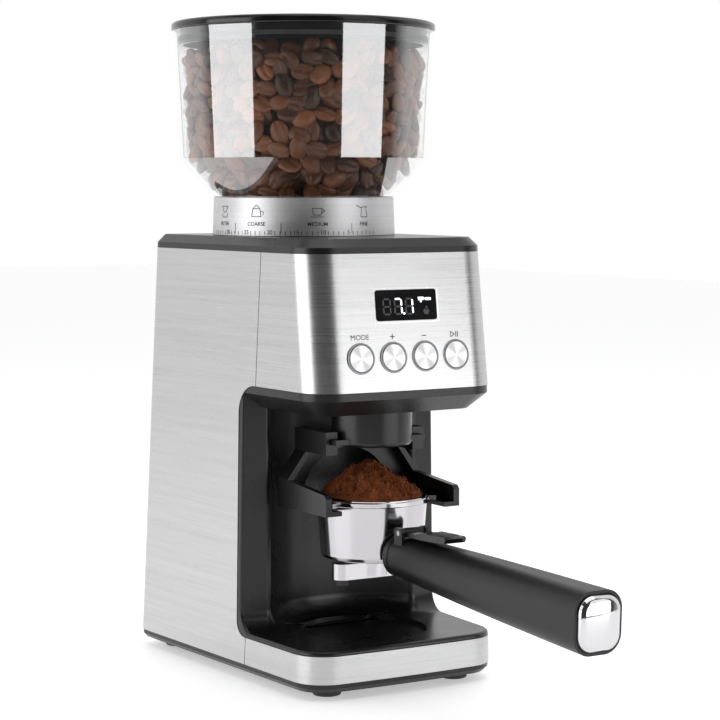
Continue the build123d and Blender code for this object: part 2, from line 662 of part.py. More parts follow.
with BuildPart() as burr_chamber:
    tube((0, 0), CHAMBER_RADIUS, 0, CHASSIS_HIGH, CHAMBER_HIGH)
    tube((0, 0), CHAMBER_RADIUS - CHAMBER_WALL, 0, FLOOR_HIGH, CHAMBER_HIGH + 1, Mode.SUBTRACT)
    tube((0, 0), SHAFT_RADIUS + 0.5, 0, CHASSIS_HIGH - 1, FLOOR_HIGH + 1, Mode.SUBTRACT)
    block((-PORT_WIDTH / 2, PORT_WIDTH / 2), (-CHAMBER_RADIUS - 5, -CHAMBER_RADIUS + 12),
          (port_low, port_high), Mode.SUBTRACT)
save(burr_chamber, "burr_chamber")

# ================================================================ motor
with BuildPart() as motor_can:
    tube((0, MOTOR_Y), MOTOR_RADIUS, 0, MOTOR_LOW, MOTOR_HIGH)
    tube((0, MOTOR_Y), MOTOR_RADIUS - MOTOR_WALL, 0, MOTOR_LOW + 2, MOTOR_HIGH + 1, Mode.SUBTRACT)
    tube((0, MOTOR_Y), BUSH_RADIUS + 2, BUSH_RADIUS, MOTOR_LOW + 1, MOTOR_LOW + 2 + BUSH_HEIGHT)
save(motor_can, "motor_can")

with BuildPart() as motor_end_cap:
    tube((0, MOTOR_Y), MOTOR_RADIUS, 0, MOTOR_HIGH, CASE_LOW)
    tube((0, MOTOR_Y), BUSH_RADIUS + 2, 0, MOTOR_HIGH - 1, MOTOR_HIGH)
    tube((0, MOTOR_Y), BUSH_RADIUS, 0, MOTOR_HIGH - 2, CASE_LOW + 1, Mode.SUBTRACT)
    tubes(motor_screw_places, MOTOR_SCREW_RADIUS, 0, MOTOR_HIGH - 1, CASE_LOW + 1, Mode.SUBTRACT)
save(motor_end_cap, "motor_end_cap")

with BuildPart() as motor_bushes:
    for low in (MOTOR_LOW + 2, MOTOR_HIGH - 1):
        tube((0, MOTOR_Y), BUSH_RADIUS, MOTOR_SHAFT_RADIUS + RUNNING_GAP, low, low + BUSH_HEIGHT)
save(motor_bushes, "motor_bushes")

with BuildPart() as motor_screws:
    tubes(motor_screw_places, MOTOR_SCREW_RADIUS, 0, MOTOR_HIGH, CASE_LOW + 3)
    tubes(motor_screw_places, MOTOR_SCREW_RADIUS + 1.3, 0, CASE_LOW + 3, CASE_LOW + 4.6)
save(motor_screws, "motor_screws")

with BuildPart() as motor_magnets:
    magnet_radius = MOTOR_RADIUS - MOTOR_WALL
    tube((0, MOTOR_Y), magnet_radius, magnet_radius - MAGNET_THICKNESS, MOTOR_LOW + 12, MOTOR_HIGH - 14)
    block((-6, 6), (0, 2 * MOTOR_Y), (MOTOR_LOW, MOTOR_HIGH), Mode.SUBTRACT)
save(motor_magnets, "motor_magnets")

with BuildPart() as motor_shaft:
    tube((0, MOTOR_Y), MOTOR_SHAFT_RADIUS, 0, MOTOR_LOW + 2.3, GEAR_LOW + GEAR_WIDTH + 1)
save(motor_shaft, "motor_shaft")

with BuildPart() as armature:
    armature_low, armature_high = MOTOR_LOW + 14, MOTOR_HIGH - 18
    tube((0, MOTOR_Y), ARMATURE_RADIUS, MOTOR_SHAFT_RADIUS, armature_low, armature_high)
    with Locations([(0, MOTOR_Y, (armature_low + armature_high) / 2)]):
        with PolarLocations(ARMATURE_RADIUS, 10):
            Box(5, 2, armature_high - armature_low, mode=Mode.SUBTRACT)
save(armature, "armature")

with BuildPart() as commutator:
    tube((0, MOTOR_Y), 8, MOTOR_SHAFT_RADIUS, MOTOR_HIGH - 16, MOTOR_HIGH - 6)
save(commutator, "commutator")


def gear(teeth, y, bore):
    """An involute spur gear on an upright axis at x = 0, y = y, with a tooth pointing along +X."""
    pressure = radians(PRESSURE_ANGLE)
    pitch = MODULE * teeth / 2
    base = pitch * cos(pressure)
    tip, root = pitch + ADDENDUM * MODULE, pitch - DEDENDUM * MODULE
    half = pi / (2 * teeth) - BACKLASH / (4 * pitch) + tan(pressure) - pressure
    flank = []
    for step in range(5):
        radius = max(root, base) + (tip - max(root, base)) * step / 4
        roll = sqrt((radius / base) ** 2 - 1) if radius > base else 0.0
        flank.append((radius, half - roll + atan2(roll, 1)))
    tooth = [(root, -flank[0][1])] + [(radius, -turn) for radius, turn in flank]
    tooth += [(radius, turn) for radius, turn in reversed(flank)] + [(root, flank[0][1])]
    points = []
    for index in range(teeth):
        for radius, turn in tooth:
            angle = 2 * pi * index / teeth + turn
            point = (radius * cos(angle), y + radius * sin(angle))
            if not points or abs(point[0] - points[-1][0]) + abs(point[1] - points[-1][1]) > 0.001:
                points.append(point)
    with BuildSketch(Plane.XY.offset(GEAR_LOW)) as profile:
        with BuildLine():
            Polyline(*points, close=True)
        make_face()
        with Locations([(0, y)]):
            Circle(bore, mode=Mode.SUBTRACT)
    return profile.sketch


with BuildPart() as pinion:
    extrude(gear(PINION_TEETH, MOTOR_Y, MOTOR_SHAFT_RADIUS), amount=GEAR_WIDTH)
save(pinion, "pinion")

# ================================================================ burr drive
with BuildPart() as drive_gear:
    extrude(gear(GEAR_TEETH, 0, SHAFT_RADIUS), amount=GEAR_WIDTH)
    for low, high in ((GEAR_LOW - 1, GEAR_LOW + 2.5), (GEAR_LOW + GEAR_WIDTH - 2.5, GEAR_LOW + GEAR_WIDTH + 1)):
        tube((0, 0), MODULE * GEAR_TEETH / 2 - 5, 9, low, high, Mode.SUBTRACT)
save(drive_gear, "drive_gear")

with BuildPart() as drive_shaft:
    tube((0, 0), SHAFT_RADIUS, 0, LOWER_BEARING + 0.3, CONE_LOW + CONE_HEIGHT + 6)
save(drive_shaft, "drive_shaft")

with BuildPart() as impeller:
    disc_low = FLOOR_HIGH + 1
    tube((0, 0), IMPELLER_RADIUS, 0, disc_low, disc_low + IMPELLER_THICKNESS)
    tube((0, 0), 9, 0, disc_low, CONE_LOW)
    with PolarLocations(0, PADDLES):
        with Locations([(24, 0, disc_low + 5)]):
            Box(31, 2, 8)
    tube((0, 0), SHAFT_RADIUS, 0, disc_low - 1, CONE_LOW + 1, Mode.SUBTRACT)
save(impeller, "impeller")

cone_lean = atan2(CONE_LOW_RADIUS - CONE_TOP_RADIUS, CONE_HEIGHT)
cone_middle = (CONE_LOW_RADIUS + CONE_TOP_RADIUS) / 2


def groove_planes(radius, z, facing):
    """Planes on a burr's cone, one for each groove; facing is 1 outwards and -1 inwards."""
    planes = []
    for index in range(BURR_TEETH):
        turn = 2 * pi * index / BURR_TEETH
        out = Vector(cos(turn), sin(turn), 0)
        normal = (out * cos(cone_lean) + Vector(0, 0, sin(cone_lean))) * facing
        around = Vector(-sin(turn), cos(turn), 0)
        planes.append(Plane(origin=out * radius + Vector(0, 0, z), x_dir=around, z_dir=normal))
    return planes


with BuildPart() as cone_burr:
    cone_high = CONE_LOW + CONE_HEIGHT
    spun([(SHAFT_RADIUS, CONE_LOW), (CONE_LOW_RADIUS, CONE_LOW), (CONE_TOP_RADIUS, cone_high),
          (SHAFT_RADIUS, cone_high)])
    with Locations(groove_planes(cone_middle, CONE_LOW + CONE_HEIGHT / 2, 1)):
        Box(2.4, 3 * CONE_HEIGHT, 2 * BURR_GROOVE, mode=Mode.SUBTRACT)
save(cone_burr, "cone_burr")

with BuildPart() as burr_nut:
    with BuildSketch(Plane.XY.offset(cone_high)):
        RegularPolygon(7, 6)
        Circle(SHAFT_RADIUS, mode=Mode.SUBTRACT)
    extrude(amount=4)
save(burr_nut, "burr_nut")

# ================================================================ upper burr and its carrier
with BuildPart() as ring_burr:
    ring_high = RING_BURR_LOW + RING_BURR_HEIGHT
    slope = (CONE_LOW_RADIUS - CONE_TOP_RADIUS) / CONE_HEIGHT
    reach_low = CONE_LOW_RADIUS - slope * (RING_BURR_LOW - CONE_LOW) + BURR_GAP
    reach_high = reach_low - slope * RING_BURR_HEIGHT
    spun([(reach_low, RING_BURR_LOW), (RING_BURR_RADIUS, RING_BURR_LOW), (RING_BURR_RADIUS, ring_high),
          (reach_high, ring_high)])
    with Locations(groove_planes((reach_low + reach_high) / 2, RING_BURR_LOW + RING_BURR_HEIGHT / 2, -1)):
        Box(2.4, 3 * RING_BURR_HEIGHT, 2 * BURR_GROOVE, mode=Mode.SUBTRACT)
save(ring_burr, "ring_burr")

with BuildPart() as burr_carrier:
    neck_bore = NECK_RADIUS + GAP
    carrier_high = CHAMBER_HIGH + 6
    spun([(RING_BURR_RADIUS, RING_BURR_LOW), (CARRIER_RADIUS, RING_BURR_LOW), (CARRIER_RADIUS, CHAMBER_HIGH - 8),
          (neck_bore + 3, CHAMBER_HIGH - 8), (neck_bore + 3, carrier_high), (neck_bore, carrier_high),
          (neck_bore, ring_high + 5), (RING_BURR_RADIUS - 3, ring_high + 2), (RING_BURR_RADIUS - 3, ring_high),
          (RING_BURR_RADIUS, ring_high)])
save(burr_carrier, "burr_carrier")

# ================================================================ hopper, collar and lid
with BuildPart() as hopper:
    outside = [(NECK_RADIUS, NECK_LOW), (NECK_RADIUS, NECK_SHOULDER), (COLLAR_RADIUS - 0.6, COLLAR_HIGH + 0.1),
               (HOPPER_KNEE_RADIUS, HOPPER_KNEE), (HOPPER_TOP_RADIUS, LID_LOW - GAP)]
    inside = inner_path(outside, HOPPER_WALL)
    spun(outside + [(inside[-1][0], LID_LOW - GAP)] + inside[-2:0:-1] + [(inside[0][0], NECK_LOW)])
save(hopper, "hopper")

with BuildPart() as adjust_collar:
    collar_low = DECK_HIGH + GAP
    inner = COLLAR_RADIUS - COLLAR_WALL
    spun([(inner, collar_low), (COLLAR_RADIUS + COLLAR_FLARE, collar_low), (COLLAR_RADIUS, COLLAR_HIGH - 0.5),
          (COLLAR_RADIUS - 0.5, COLLAR_HIGH), (COLLAR_RADIUS - 1.4, COLLAR_HIGH - 0.8), (inner, FLANGE_HIGH + 11),
          (inner, FLANGE_HIGH), (NECK_RADIUS + SEAT_GAP, FLANGE_HIGH), (NECK_RADIUS + SEAT_GAP, FLANGE_LOW),
          (inner, FLANGE_LOW)])
save(adjust_collar, "adjust_collar")

with BuildPart() as lid:
    lid_high = LID_LOW + LID_THICKNESS
    tube((0, 0), LID_RADIUS, 0, LID_LOW, lid_high)
    fillet(lid.edges().group_by(Axis.Z)[-1], 2.2)
    fillet(lid.edges().group_by(Axis.Z)[0], 0.8)
    tube((0, 0), SKIRT_RADIUS, SKIRT_RADIUS - 2, SKIRT_LOW, LID_LOW + 1)
    tube((0, 0), SKIRT_RADIUS - 10, 0, LID_LOW - 1, lid_high - WALL, Mode.SUBTRACT)
save(lid, "lid")

with BuildPart() as lid_seal:
    tube((0, 0), SKIRT_RADIUS + 0.9, SKIRT_RADIUS, SKIRT_LOW + 2, SKIRT_LOW + 4.5)
save(lid_seal, "lid_seal")

with BuildPart() as hopper_switch:
    block((CHAMBER_RADIUS + 2, CHAMBER_RADIUS + 9), (-9, 9), (HEAD_HIGH - 6, DECK_BAND_HIGH + 1 - SEAT_GAP))
save(hopper_switch, "hopper_switch")

with BuildPart() as power_board:
    board_low = BASE_FLOOR + 6
    block((-32, 32), (-4, 60), (board_low, board_low + 1.6))
    block((-24, -4), (26, 42), (board_low, board_low + 18))
    block((8, 24), (34, 50), (board_low, board_low + 12))
    tubes([(14, 10), (-10, 8)], 6, 0, board_low, board_low + 22)
save(power_board, "power_board")

# ================================================================ cradle
with BuildPart() as cradle:
    lip_inner = OUTLET_RADIUS + 2
    plate_high = OUTLET_LOW - 1
    with BuildSketch(Plane.XZ.offset(-PLATE_FRONT_Y)):
        with BuildLine():
            Polyline((-ARM_OUTER, SHELF_LOW), (-ARM_OUTER, PLATE_SHOULDER), (-HOOK_OUTER, HOOK_LOW),
                     (-HOOK_OUTER, HOOK_HIGH), (-lip_inner, HOOK_HIGH), (-lip_inner, plate_high),
                     (lip_inner, plate_high), (lip_inner, HOOK_HIGH), (HOOK_OUTER, HOOK_HIGH),
                     (HOOK_OUTER, HOOK_LOW), (ARM_OUTER, PLATE_SHOULDER), (ARM_OUTER, SHELF_LOW), close=True)
        make_face()
        with Locations([(0, ARCH_Z)]):
            Circle(ARCH_RADIUS, mode=Mode.SUBTRACT)
        with Locations([(0, SHELF_LOW)]):
            Rectangle(2 * ARCH_RADIUS, 8, mode=Mode.SUBTRACT)
    extrude(amount=-PLATE_THICKNESS)
    for side in (-1, 1):
        with BuildSketch(Plane.XZ.offset(-PLATE_FRONT_Y)):
            with BuildLine():
                Polyline((side * ARM_OUTER, SHELF_HIGH), (side * ARM_OUTER, PLATE_SHOULDER),
                         (side * HOOK_OUTER, HOOK_LOW), (side * HOOK_OUTER, HOOK_LOW + HOOK_WALL),
                         (side * (HOOK_OUTER - HOOK_WALL), HOOK_LOW + HOOK_WALL),
                         (side * (HOOK_OUTER - HOOK_WALL), HOOK_LOW - 1),
                         (side * (ARM_OUTER - ARM_WALL), PLATE_SHOULDER - 1),
                         (side * (ARM_OUTER - ARM_WALL), SHELF_HIGH), close=True)
            make_face()
        extrude(amount=9)
        arm_x = sorted((side * (ARM_OUTER - ARM_WALL), side * ARM_OUTER))
        with BuildSketch(Plane.YZ.offset(arm_x[0])):
            with BuildLine():
                Polyline((PLATE_FRONT_Y, SHELF_LOW), (PLATE_FRONT_Y, PLATE_SHOULDER),
                         (ARM_FRONT_Y + 2, ARM_HIGH - 2), (ARM_FRONT_Y, ARM_HIGH - 4), (ARM_FRONT_Y, SHELF_LOW),
                         close=True)
            make_face()
        extrude(amount=ARM_WALL)
        shelf_x = sorted((side * SHELF_INNER, side * (ARM_OUTER - 1)))
        block(shelf_x, (ARM_FRONT_Y, PLATE_FRONT_Y), (SHELF_LOW, SHELF_HIGH))
        web_x = sorted((side * (HOOK_OUTER - HOOK_WALL), side * HOOK_OUTER))
        lip_x = sorted((side * lip_inner, side * HOOK_OUTER))
        hook_y = (HOOK_FRONT_Y, PLATE_FRONT_Y)
        block(web_x, hook_y, (HOOK_LOW, HOOK_HIGH))
        block(lip_x, hook_y, (RAIL_Z + RAIL_HEIGHT / 2 + GAP, HOOK_HIGH))
        block(lip_x, hook_y, (HOOK_LOW, RAIL_Z - RAIL_HEIGHT / 2 - GAP))
        slot_x = sorted((side * (lip_inner - 1), side * (HOOK_OUTER - HOOK_WALL)))
        slot_z = (RAIL_Z - RAIL_HEIGHT / 2 - GAP, RAIL_Z + RAIL_HEIGHT / 2 + GAP)
        block(slot_x, (HOOK_FRONT_Y - 1, PLATE_FRONT_Y + 2 * PLATE_THICKNESS), slot_z, Mode.SUBTRACT)
save(cradle, "cradle")

# ================================================================ portafilter
with BuildPart() as portafilter_cup:
    spun([(0, CUP_LOW), (CUP_LOW_RADIUS - 3, CUP_LOW), (CUP_LOW_RADIUS - 0.8, CUP_LOW + 0.8),
          (CUP_LOW_RADIUS, CUP_LOW + 2.6), (CUP_TOP_RADIUS, CUP_HIGH - RIM_HEIGHT - 0.6),
          (CUP_TOP_RADIUS + RIM_WIDTH, CUP_HIGH - RIM_HEIGHT), (CUP_TOP_RADIUS + RIM_WIDTH, CUP_HIGH - 0.5),
          (CUP_TOP_RADIUS + RIM_WIDTH - 0.5, CUP_HIGH), (0, CUP_HIGH)], OUTLET_Y)
    with BuildSketch(handle_plane(BOSS_START)):
        Circle(FERRULE_RADIUS - 4.4)
    extrude(amount=BOSS_START - FERRULE_START)
    for side in (-1, 1):
        lug_edge = 50 * tan(radians(LUG_ANGLE / 2))
        with BuildSketch(Plane.XY.offset(SHELF_HIGH + GAP)):
            with BuildLine():
                Polyline((0, OUTLET_Y), (side * 50, OUTLET_Y - lug_edge), (side * 50, OUTLET_Y + lug_edge),
                         close=True)
            make_face()
            with Locations([(0, OUTLET_Y)]):
                Circle(LUG_RADIUS, mode=Mode.INTERSECT)
                Circle(CUP_TOP_RADIUS - 1, mode=Mode.SUBTRACT)
        extrude(amount=LUG_HEIGHT)
    spun([(0, CUP_LOW + CUP_WALL + 1), (CUP_LOW_RADIUS - CUP_WALL, CUP_LOW + CUP_WALL + 1),
          (CUP_TOP_RADIUS - CUP_WALL, CUP_HIGH + 0.1), (0, CUP_HIGH + 0.1)], OUTLET_Y, Mode.SUBTRACT)
    tube((0, OUTLET_Y), 4, 0, CUP_LOW - 1, CUP_LOW + 6, Mode.SUBTRACT)
    with BuildSketch(handle_plane(BOLT_START)):
        Circle(BOLT_RADIUS + SEAT_GAP)
    extrude(amount=REACH, mode=Mode.SUBTRACT)
save(portafilter_cup, "portafilter_cup")

with BuildPart() as filter_basket:
    basket_top = CUP_TOP_RADIUS - CUP_WALL - GAP
    basket_low = CUP_HIGH - BASKET_DEPTH
    outside = [(0, basket_low), (basket_top - 1.8, basket_low), (basket_top, CUP_HIGH),
               (CUP_TOP_RADIUS + RIM_WIDTH - 1, CUP_HIGH)]
    inside = inner_path(outside, BASKET_WALL)
    spun(outside + inside[::-1], OUTLET_Y)
save(filter_basket, "filter_basket")

with BuildPart() as spout:
    tube((0, OUTLET_Y), 9, 0, SPOUT_LOW + 1, CUP_LOW)
    with BuildSketch(Plane.XY.offset(SPOUT_LOW)):
        with Locations([(0, OUTLET_Y)]):
            SlotOverall(2 * SPOUT_HALF_LENGTH, SPOUT_WIDTH)
    extrude(amount=SPOUT_HEIGHT)
    tube((0, OUTLET_Y), 4, 0, SPOUT_LOW + 2, CUP_LOW + 1, Mode.SUBTRACT)
    tip_places = [(side * (SPOUT_HALF_LENGTH - SPOUT_WIDTH / 2), OUTLET_Y) for side in (-1, 1)]
    tubes(tip_places, TIP_RADIUS - 1, 0, SPOUT_LOW - 1, SPOUT_LOW + SPOUT_HEIGHT - 2, Mode.SUBTRACT)
save(spout, "spout")

with BuildPart() as spout_tips:
    tubes(tip_places, TIP_RADIUS, TIP_RADIUS - 1.2, TIP_LOW, SPOUT_LOW)
save(spout_tips, "spout_tips")

with BuildPart() as handle_ferrule:
    with BuildSketch(handle_plane(FERRULE_START)):
        Circle(FERRULE_RADIUS)
        Circle(BOLT_RADIUS + SEAT_GAP, mode=Mode.SUBTRACT)
    extrude(amount=FERRULE_LENGTH - SEAT_GAP)
    fillet(handle_ferrule.edges().group_by(Axis.Y)[-1], 1.0)
save(handle_ferrule, "handle_ferrule")

with BuildPart() as handle_bolt:
    with BuildSketch(handle_plane(BOLT_START)):
        Circle(BOLT_RADIUS)
    extrude(amount=BOLT_LENGTH)
save(handle_bolt, "handle_bolt")

with BuildPart() as handle:
    grip_end = HANDLE_END + 3.0
    for share, bulge in ((0.0, 0.0), (0.15, 0.5), (0.5, 0.9), (1.0, 0.0)):
        y = HANDLE_ROOT + share * (grip_end - HANDLE_ROOT)
        width = HANDLE_ROOT_SIZE + share * (HANDLE_END_WIDTH - HANDLE_ROOT_SIZE) + bulge
        height = HANDLE_ROOT_SIZE + share * (HANDLE_END_HEIGHT - HANDLE_ROOT_SIZE) + bulge
        with BuildSketch(handle_plane(y)):
            RectangleRounded(width, height, HANDLE_CORNER + (1 - share) * 1.6)
    loft()
    block((-CLIP_WIDTH / 2 - EAR_WALL, CLIP_WIDTH / 2 + EAR_WALL), (CLIP_Y - 4, CLIP_Y + 4),
          (HANDLE_ROOT_Z + 6, CLIP_Z + 2.8))
    ear_edges = handle.edges().filter_by(Axis.X).group_by(Axis.Z)[-1]
    fillet(ear_edges, 2.4)
    block((-CLIP_WIDTH / 2 - GAP / 2, CLIP_WIDTH / 2 + GAP / 2), (CLIP_Y - 5, HANDLE_ROOT + 1),
          (CLIP_Z - 3.2, CLIP_Z + 9), Mode.SUBTRACT)
    with BuildSketch(Plane.YZ.offset(-REACH)):
        with Locations([(CLIP_Y, CLIP_Z)]):
            Circle(PIN_RADIUS)
    extrude(amount=2 * REACH, mode=Mode.SUBTRACT)
    with BuildSketch(handle_plane(HANDLE_ROOT + 2)):
        Circle(BOLT_RADIUS + SEAT_GAP)
    extrude(amount=BOLT_LENGTH, mode=Mode.SUBTRACT)
    with BuildSketch(handle_plane(HANDLE_END + CAP_THICKNESS + SEAT_GAP)):
        RectangleRounded(HANDLE_END_WIDTH - 2 * CAP_INSET, HANDLE_END_HEIGHT - 2 * CAP_INSET,
                         HANDLE_CORNER - CAP_INSET)
    extrude(amount=2 * CAP_THICKNESS, mode=Mode.SUBTRACT)
save(handle, "handle")

with BuildPart() as handle_end_cap:
    with BuildSketch(handle_plane(HANDLE_END + CAP_THICKNESS)):
        RectangleRounded(HANDLE_END_WIDTH - 2 * CAP_INSET - GAP, HANDLE_END_HEIGHT - 2 * CAP_INSET - GAP,
                         HANDLE_CORNER - CAP_INSET)
    extrude(amount=CAP_THICKNESS)
    fillet(handle_end_cap.edges().group_by(Axis.Y)[0], 3.2)
save(handle_end_cap, "handle_end_cap")

with BuildPart() as clip_pin:
    with BuildSketch(Plane.YZ.offset(-CLIP_WIDTH / 2 - EAR_WALL)):
        with Locations([(CLIP_Y, CLIP_Z)]):
            Circle(PIN_RADIUS)
    extrude(amount=CLIP_WIDTH + 2 * EAR_WALL)
save(clip_pin, "clip_pin")

with BuildPart() as basket_clip:
    plate_low = CLIP_Z - 1.4
    tail = CLIP_Y - CLIP_LENGTH
    with BuildSketch(Plane.YZ.offset(-CLIP_WIDTH / 2)):
        with BuildLine():
            Polyline((CLIP_Y, plate_low), (CLIP_Y, plate_low + CLIP_THICKNESS), (CLIP_Y - 14, plate_low + 2.4),
                     (CLIP_Y - 20, plate_low + 4.0), (tail + 2, plate_low + 4.6), (tail, plate_low + 3.8),
                     (tail + 1.5, plate_low + 1.2), (CLIP_Y - 20, plate_low), close=True)
        make_face()
        with Locations([(CLIP_Y, CLIP_Z)]):
            Circle(PIN_RADIUS + 1.2)
            Circle(PIN_RADIUS + 0.05, mode=Mode.SUBTRACT)
    extrude(amount=CLIP_WIDTH)
save(basket_clip, "basket_clip")
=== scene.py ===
# %% [markdown]
# # A burr coffee grinder, dressed for its portrait
# The grinder's sheet metal, mouldings and moving parts come ready made from the CAD frame, in
# metres and in their places. This lesson gives each of them a finish and adds what CAD leaves
# out: beans, ground coffee, printed marks and the lit display. Everything that is added rides on
# the body that carries it.

# %% Load the frame
import math
import random
import bmesh
import bpy
from mathutils import Matrix, Vector, noise


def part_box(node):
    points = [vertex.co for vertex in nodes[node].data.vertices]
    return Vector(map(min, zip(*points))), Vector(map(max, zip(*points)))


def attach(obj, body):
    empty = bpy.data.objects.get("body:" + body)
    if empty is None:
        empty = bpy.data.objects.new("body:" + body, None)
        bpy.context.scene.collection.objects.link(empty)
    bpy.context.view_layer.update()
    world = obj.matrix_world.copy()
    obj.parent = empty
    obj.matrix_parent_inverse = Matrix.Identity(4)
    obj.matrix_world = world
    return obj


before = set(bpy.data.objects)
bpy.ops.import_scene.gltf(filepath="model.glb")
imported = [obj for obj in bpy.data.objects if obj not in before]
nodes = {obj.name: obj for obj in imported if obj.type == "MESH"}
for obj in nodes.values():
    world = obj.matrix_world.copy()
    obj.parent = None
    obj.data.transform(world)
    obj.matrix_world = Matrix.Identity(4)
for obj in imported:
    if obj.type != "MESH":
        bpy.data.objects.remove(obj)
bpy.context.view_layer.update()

MM = 0.001
scene = bpy.context.scene

# %% [markdown]
# Positions come from the frame. The burr axis stands under the middle of the lid, and the
# outlet's axis under the middle of the nozzle, so both are read from those nodes.

# %% Reference lines
lid_low, lid_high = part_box("lid")
axis = Vector(((lid_low.x + lid_high.x) / 2, (lid_low.y + lid_high.y) / 2, 0))
nozzle_low, nozzle_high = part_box("outlet_nozzle")
outlet = Vector((0, (nozzle_low.y + nozzle_high.y) / 2, 0))
print("burr axis y %.4f, outlet axis y %.4f" % (axis.y, outlet.y))


def from_axis(x, y, z):
    """A point in metres, from millimetres measured about the burr axis."""
    return Vector((axis.x + x * MM, axis.y + y * MM, z * MM))


# %% [markdown]
# Shader maths reads best as plain expressions. `Wire` wraps a socket, so that `mask * 0.2 + 0.1`
# adds the Math nodes by itself, and `Finish` makes any other node from its type, its settings and
# its inputs.

# %% A small language for materials
class Wire:
    """An output socket that takes part in arithmetic."""

    def __init__(self, finish, socket):
        self.finish, self.socket = finish, socket

    def _maths(self, operation, a, b):
        return self.finish.node("ShaderNodeMath", {0: a, 1: b}, operation=operation)

    def __add__(self, other):
        return self._maths("ADD", self, other)

    def __sub__(self, other):
        return self._maths("SUBTRACT", self, other)

    def __rsub__(self, other):
        return self._maths("SUBTRACT", other, self)

    def __mul__(self, other):
        return self._maths("MULTIPLY", self, other)

    def __pow__(self, other):
        return self._maths("POWER", self, other)

    __radd__, __rmul__ = __add__, __mul__


class Finish:
    """A material with a Principled shader, and the nodes that feed it."""

    def __init__(self, name, **constants):
        self.material = bpy.data.materials.new(name)
        self.material.use_nodes = True
        self.tree = self.material.node_tree
        self.shader = self.tree.nodes["Principled BSDF"]
        self.set(**constants)

    def set(self, **values):
        """Sets sockets of the shader: base_color=..., roughness=..., and so on."""
        for name, value in values.items():
            label = name.replace("_", " ").title().replace("Ior", "IOR")
            self.feed(self.shader.inputs[label], value)
        return self

    def feed(self, socket, value):
        if isinstance(value, Wire):
            self.tree.links.new(value.socket, socket)
        elif socket.type == "RGBA" and len(value) == 3:
            socket.default_value = (*value, 1)
        else:
            socket.default_value = value

    def node(self, kind, inputs=None, output=0, **settings):
        """Adds a node with its settings, feeds its inputs and returns one output as a Wire."""
        made = self.tree.nodes.new(kind)
        for name, value in settings.items():
            if name == "stops":
                for stop, (position, level) in zip(made.color_ramp.elements, value):
                    stop.position, stop.color = position, (level, level, level, 1)
            else:
                setattr(made, name, value)
        for key, value in (inputs or {}).items():
            self.feed(made.inputs[key], value)
        return Wire(self, made.outputs[output])

    def place(self):
        """The point on the object, in metres."""
        return self.node("ShaderNodeTexCoord", output="Object")

    def stretched(self, scale):
        """The point with each direction scaled by its own factor."""
        return self.node("ShaderNodeMapping", {0: self.place(), "Scale": scale})

    def noise(self, vector, scale, detail=3.0, rough=0.6):
        return self.node("ShaderNodeTexNoise", {"Vector": vector, "Scale": scale, "Detail": detail,
                                                "Roughness": rough})

    def ramp(self, value, low, high):
        """A ramp between two stops, each a position and a level of grey."""
        return self.node("ShaderNodeValToRGB", {0: value}, stops=(low, high))

    def blend(self, mask, a, b):
        """Mixes two colours: the Mix node takes them at sockets 6 and 7 and gives output 2."""
        return self.node("ShaderNodeMix", {0: mask, 6: a, 7: b}, output=2, data_type="RGBA")

    def bump(self, height, strength, distance):
        inputs = {"Height": height, "Strength": strength, "Distance": distance}
        return self.node("ShaderNodeBump", inputs)

    def about(self, middle):
        """The point on the object, counted from a middle, as its three numbers."""
        shift = self.node("ShaderNodeVectorMath", {0: self.place(), 1: middle},
                          operation="SUBTRACT")
        split = self.node("ShaderNodeSeparateXYZ", {0: shift})
        outs = split.socket.node.outputs
        return [Wire(self, outs[index]) for index in range(3)]


def dress(finish, *names):
    """Gives CAD nodes a material."""
    for name in names:
        data = nodes[name].data
        data.materials.clear()
        data.materials.append(finish.material)


print("material tools ready")

# %% [markdown]
# ## Brushed steel
# The casing is stainless sheet, brushed along the horizontal. The lines are noise that is
# stretched almost two hundredfold along the sheet and squeezed across it. It moves the colour a
# little, the roughness more, and a faint bump breaks up the reflections as real scratches do.

# %% Brushed steel for the wrap, the head and the band
SCRATCH_DEPTH = 0.00004  # in metres


def brushed(name, color, rough, across, along, strength=0.25):
    finish = Finish(name, metallic=1.0)
    fine = finish.noise(finish.stretched((along, along, across)), 1.0, 4.0, 0.7)
    broad = finish.noise(finish.stretched((along * 0.3, along * 0.3, across * 0.12)), 1.0, 2.0)
    shade = finish.ramp(fine * 0.7 + broad * 0.3, (0.3, 0.0), (0.7, 1.0))
    dark = tuple(c * 0.78 for c in color)
    finish.set(base_color=finish.blend(shade, (*dark, 1), (*color, 1)))
    finish.set(roughness=fine * 0.16 + (rough - 0.08))
    finish.set(normal=finish.bump(fine, strength, SCRATCH_DEPTH))
    return finish


sheet_steel = brushed("brushed_sheet", (0.60, 0.60, 0.605), rough=0.29, across=2600.0,
                      along=14.0)
dress(sheet_steel, "body_shell", "head_panel", "base_band")
print("steel on the casing")

# %% [markdown]
# ## Black mouldings
# Satin plastic is never one flat black: the mould's fine grain scatters the highlight. A small
# noise bump gives the grain, and a broader one lets the gloss drift over the surface.

# %% Satin black plastics
GRAIN_DEPTH = 0.00003  # in metres


def moulded(name, color, rough, grain=2600.0, strength=0.12):
    finish = Finish(name, specular_ior_level=0.45)
    drift = finish.noise(finish.place(), 40.0, 2.0)
    fine = finish.noise(finish.place(), grain, 2.0)
    deep, light = [tuple(c * share for c in color) for share in (0.75, 1.2)]
    finish.set(base_color=finish.blend(drift, (*deep, 1), (*light, 1)))
    finish.set(roughness=drift * 0.10 + (rough - 0.05))
    finish.set(normal=finish.bump(fine, strength, GRAIN_DEPTH))
    return finish


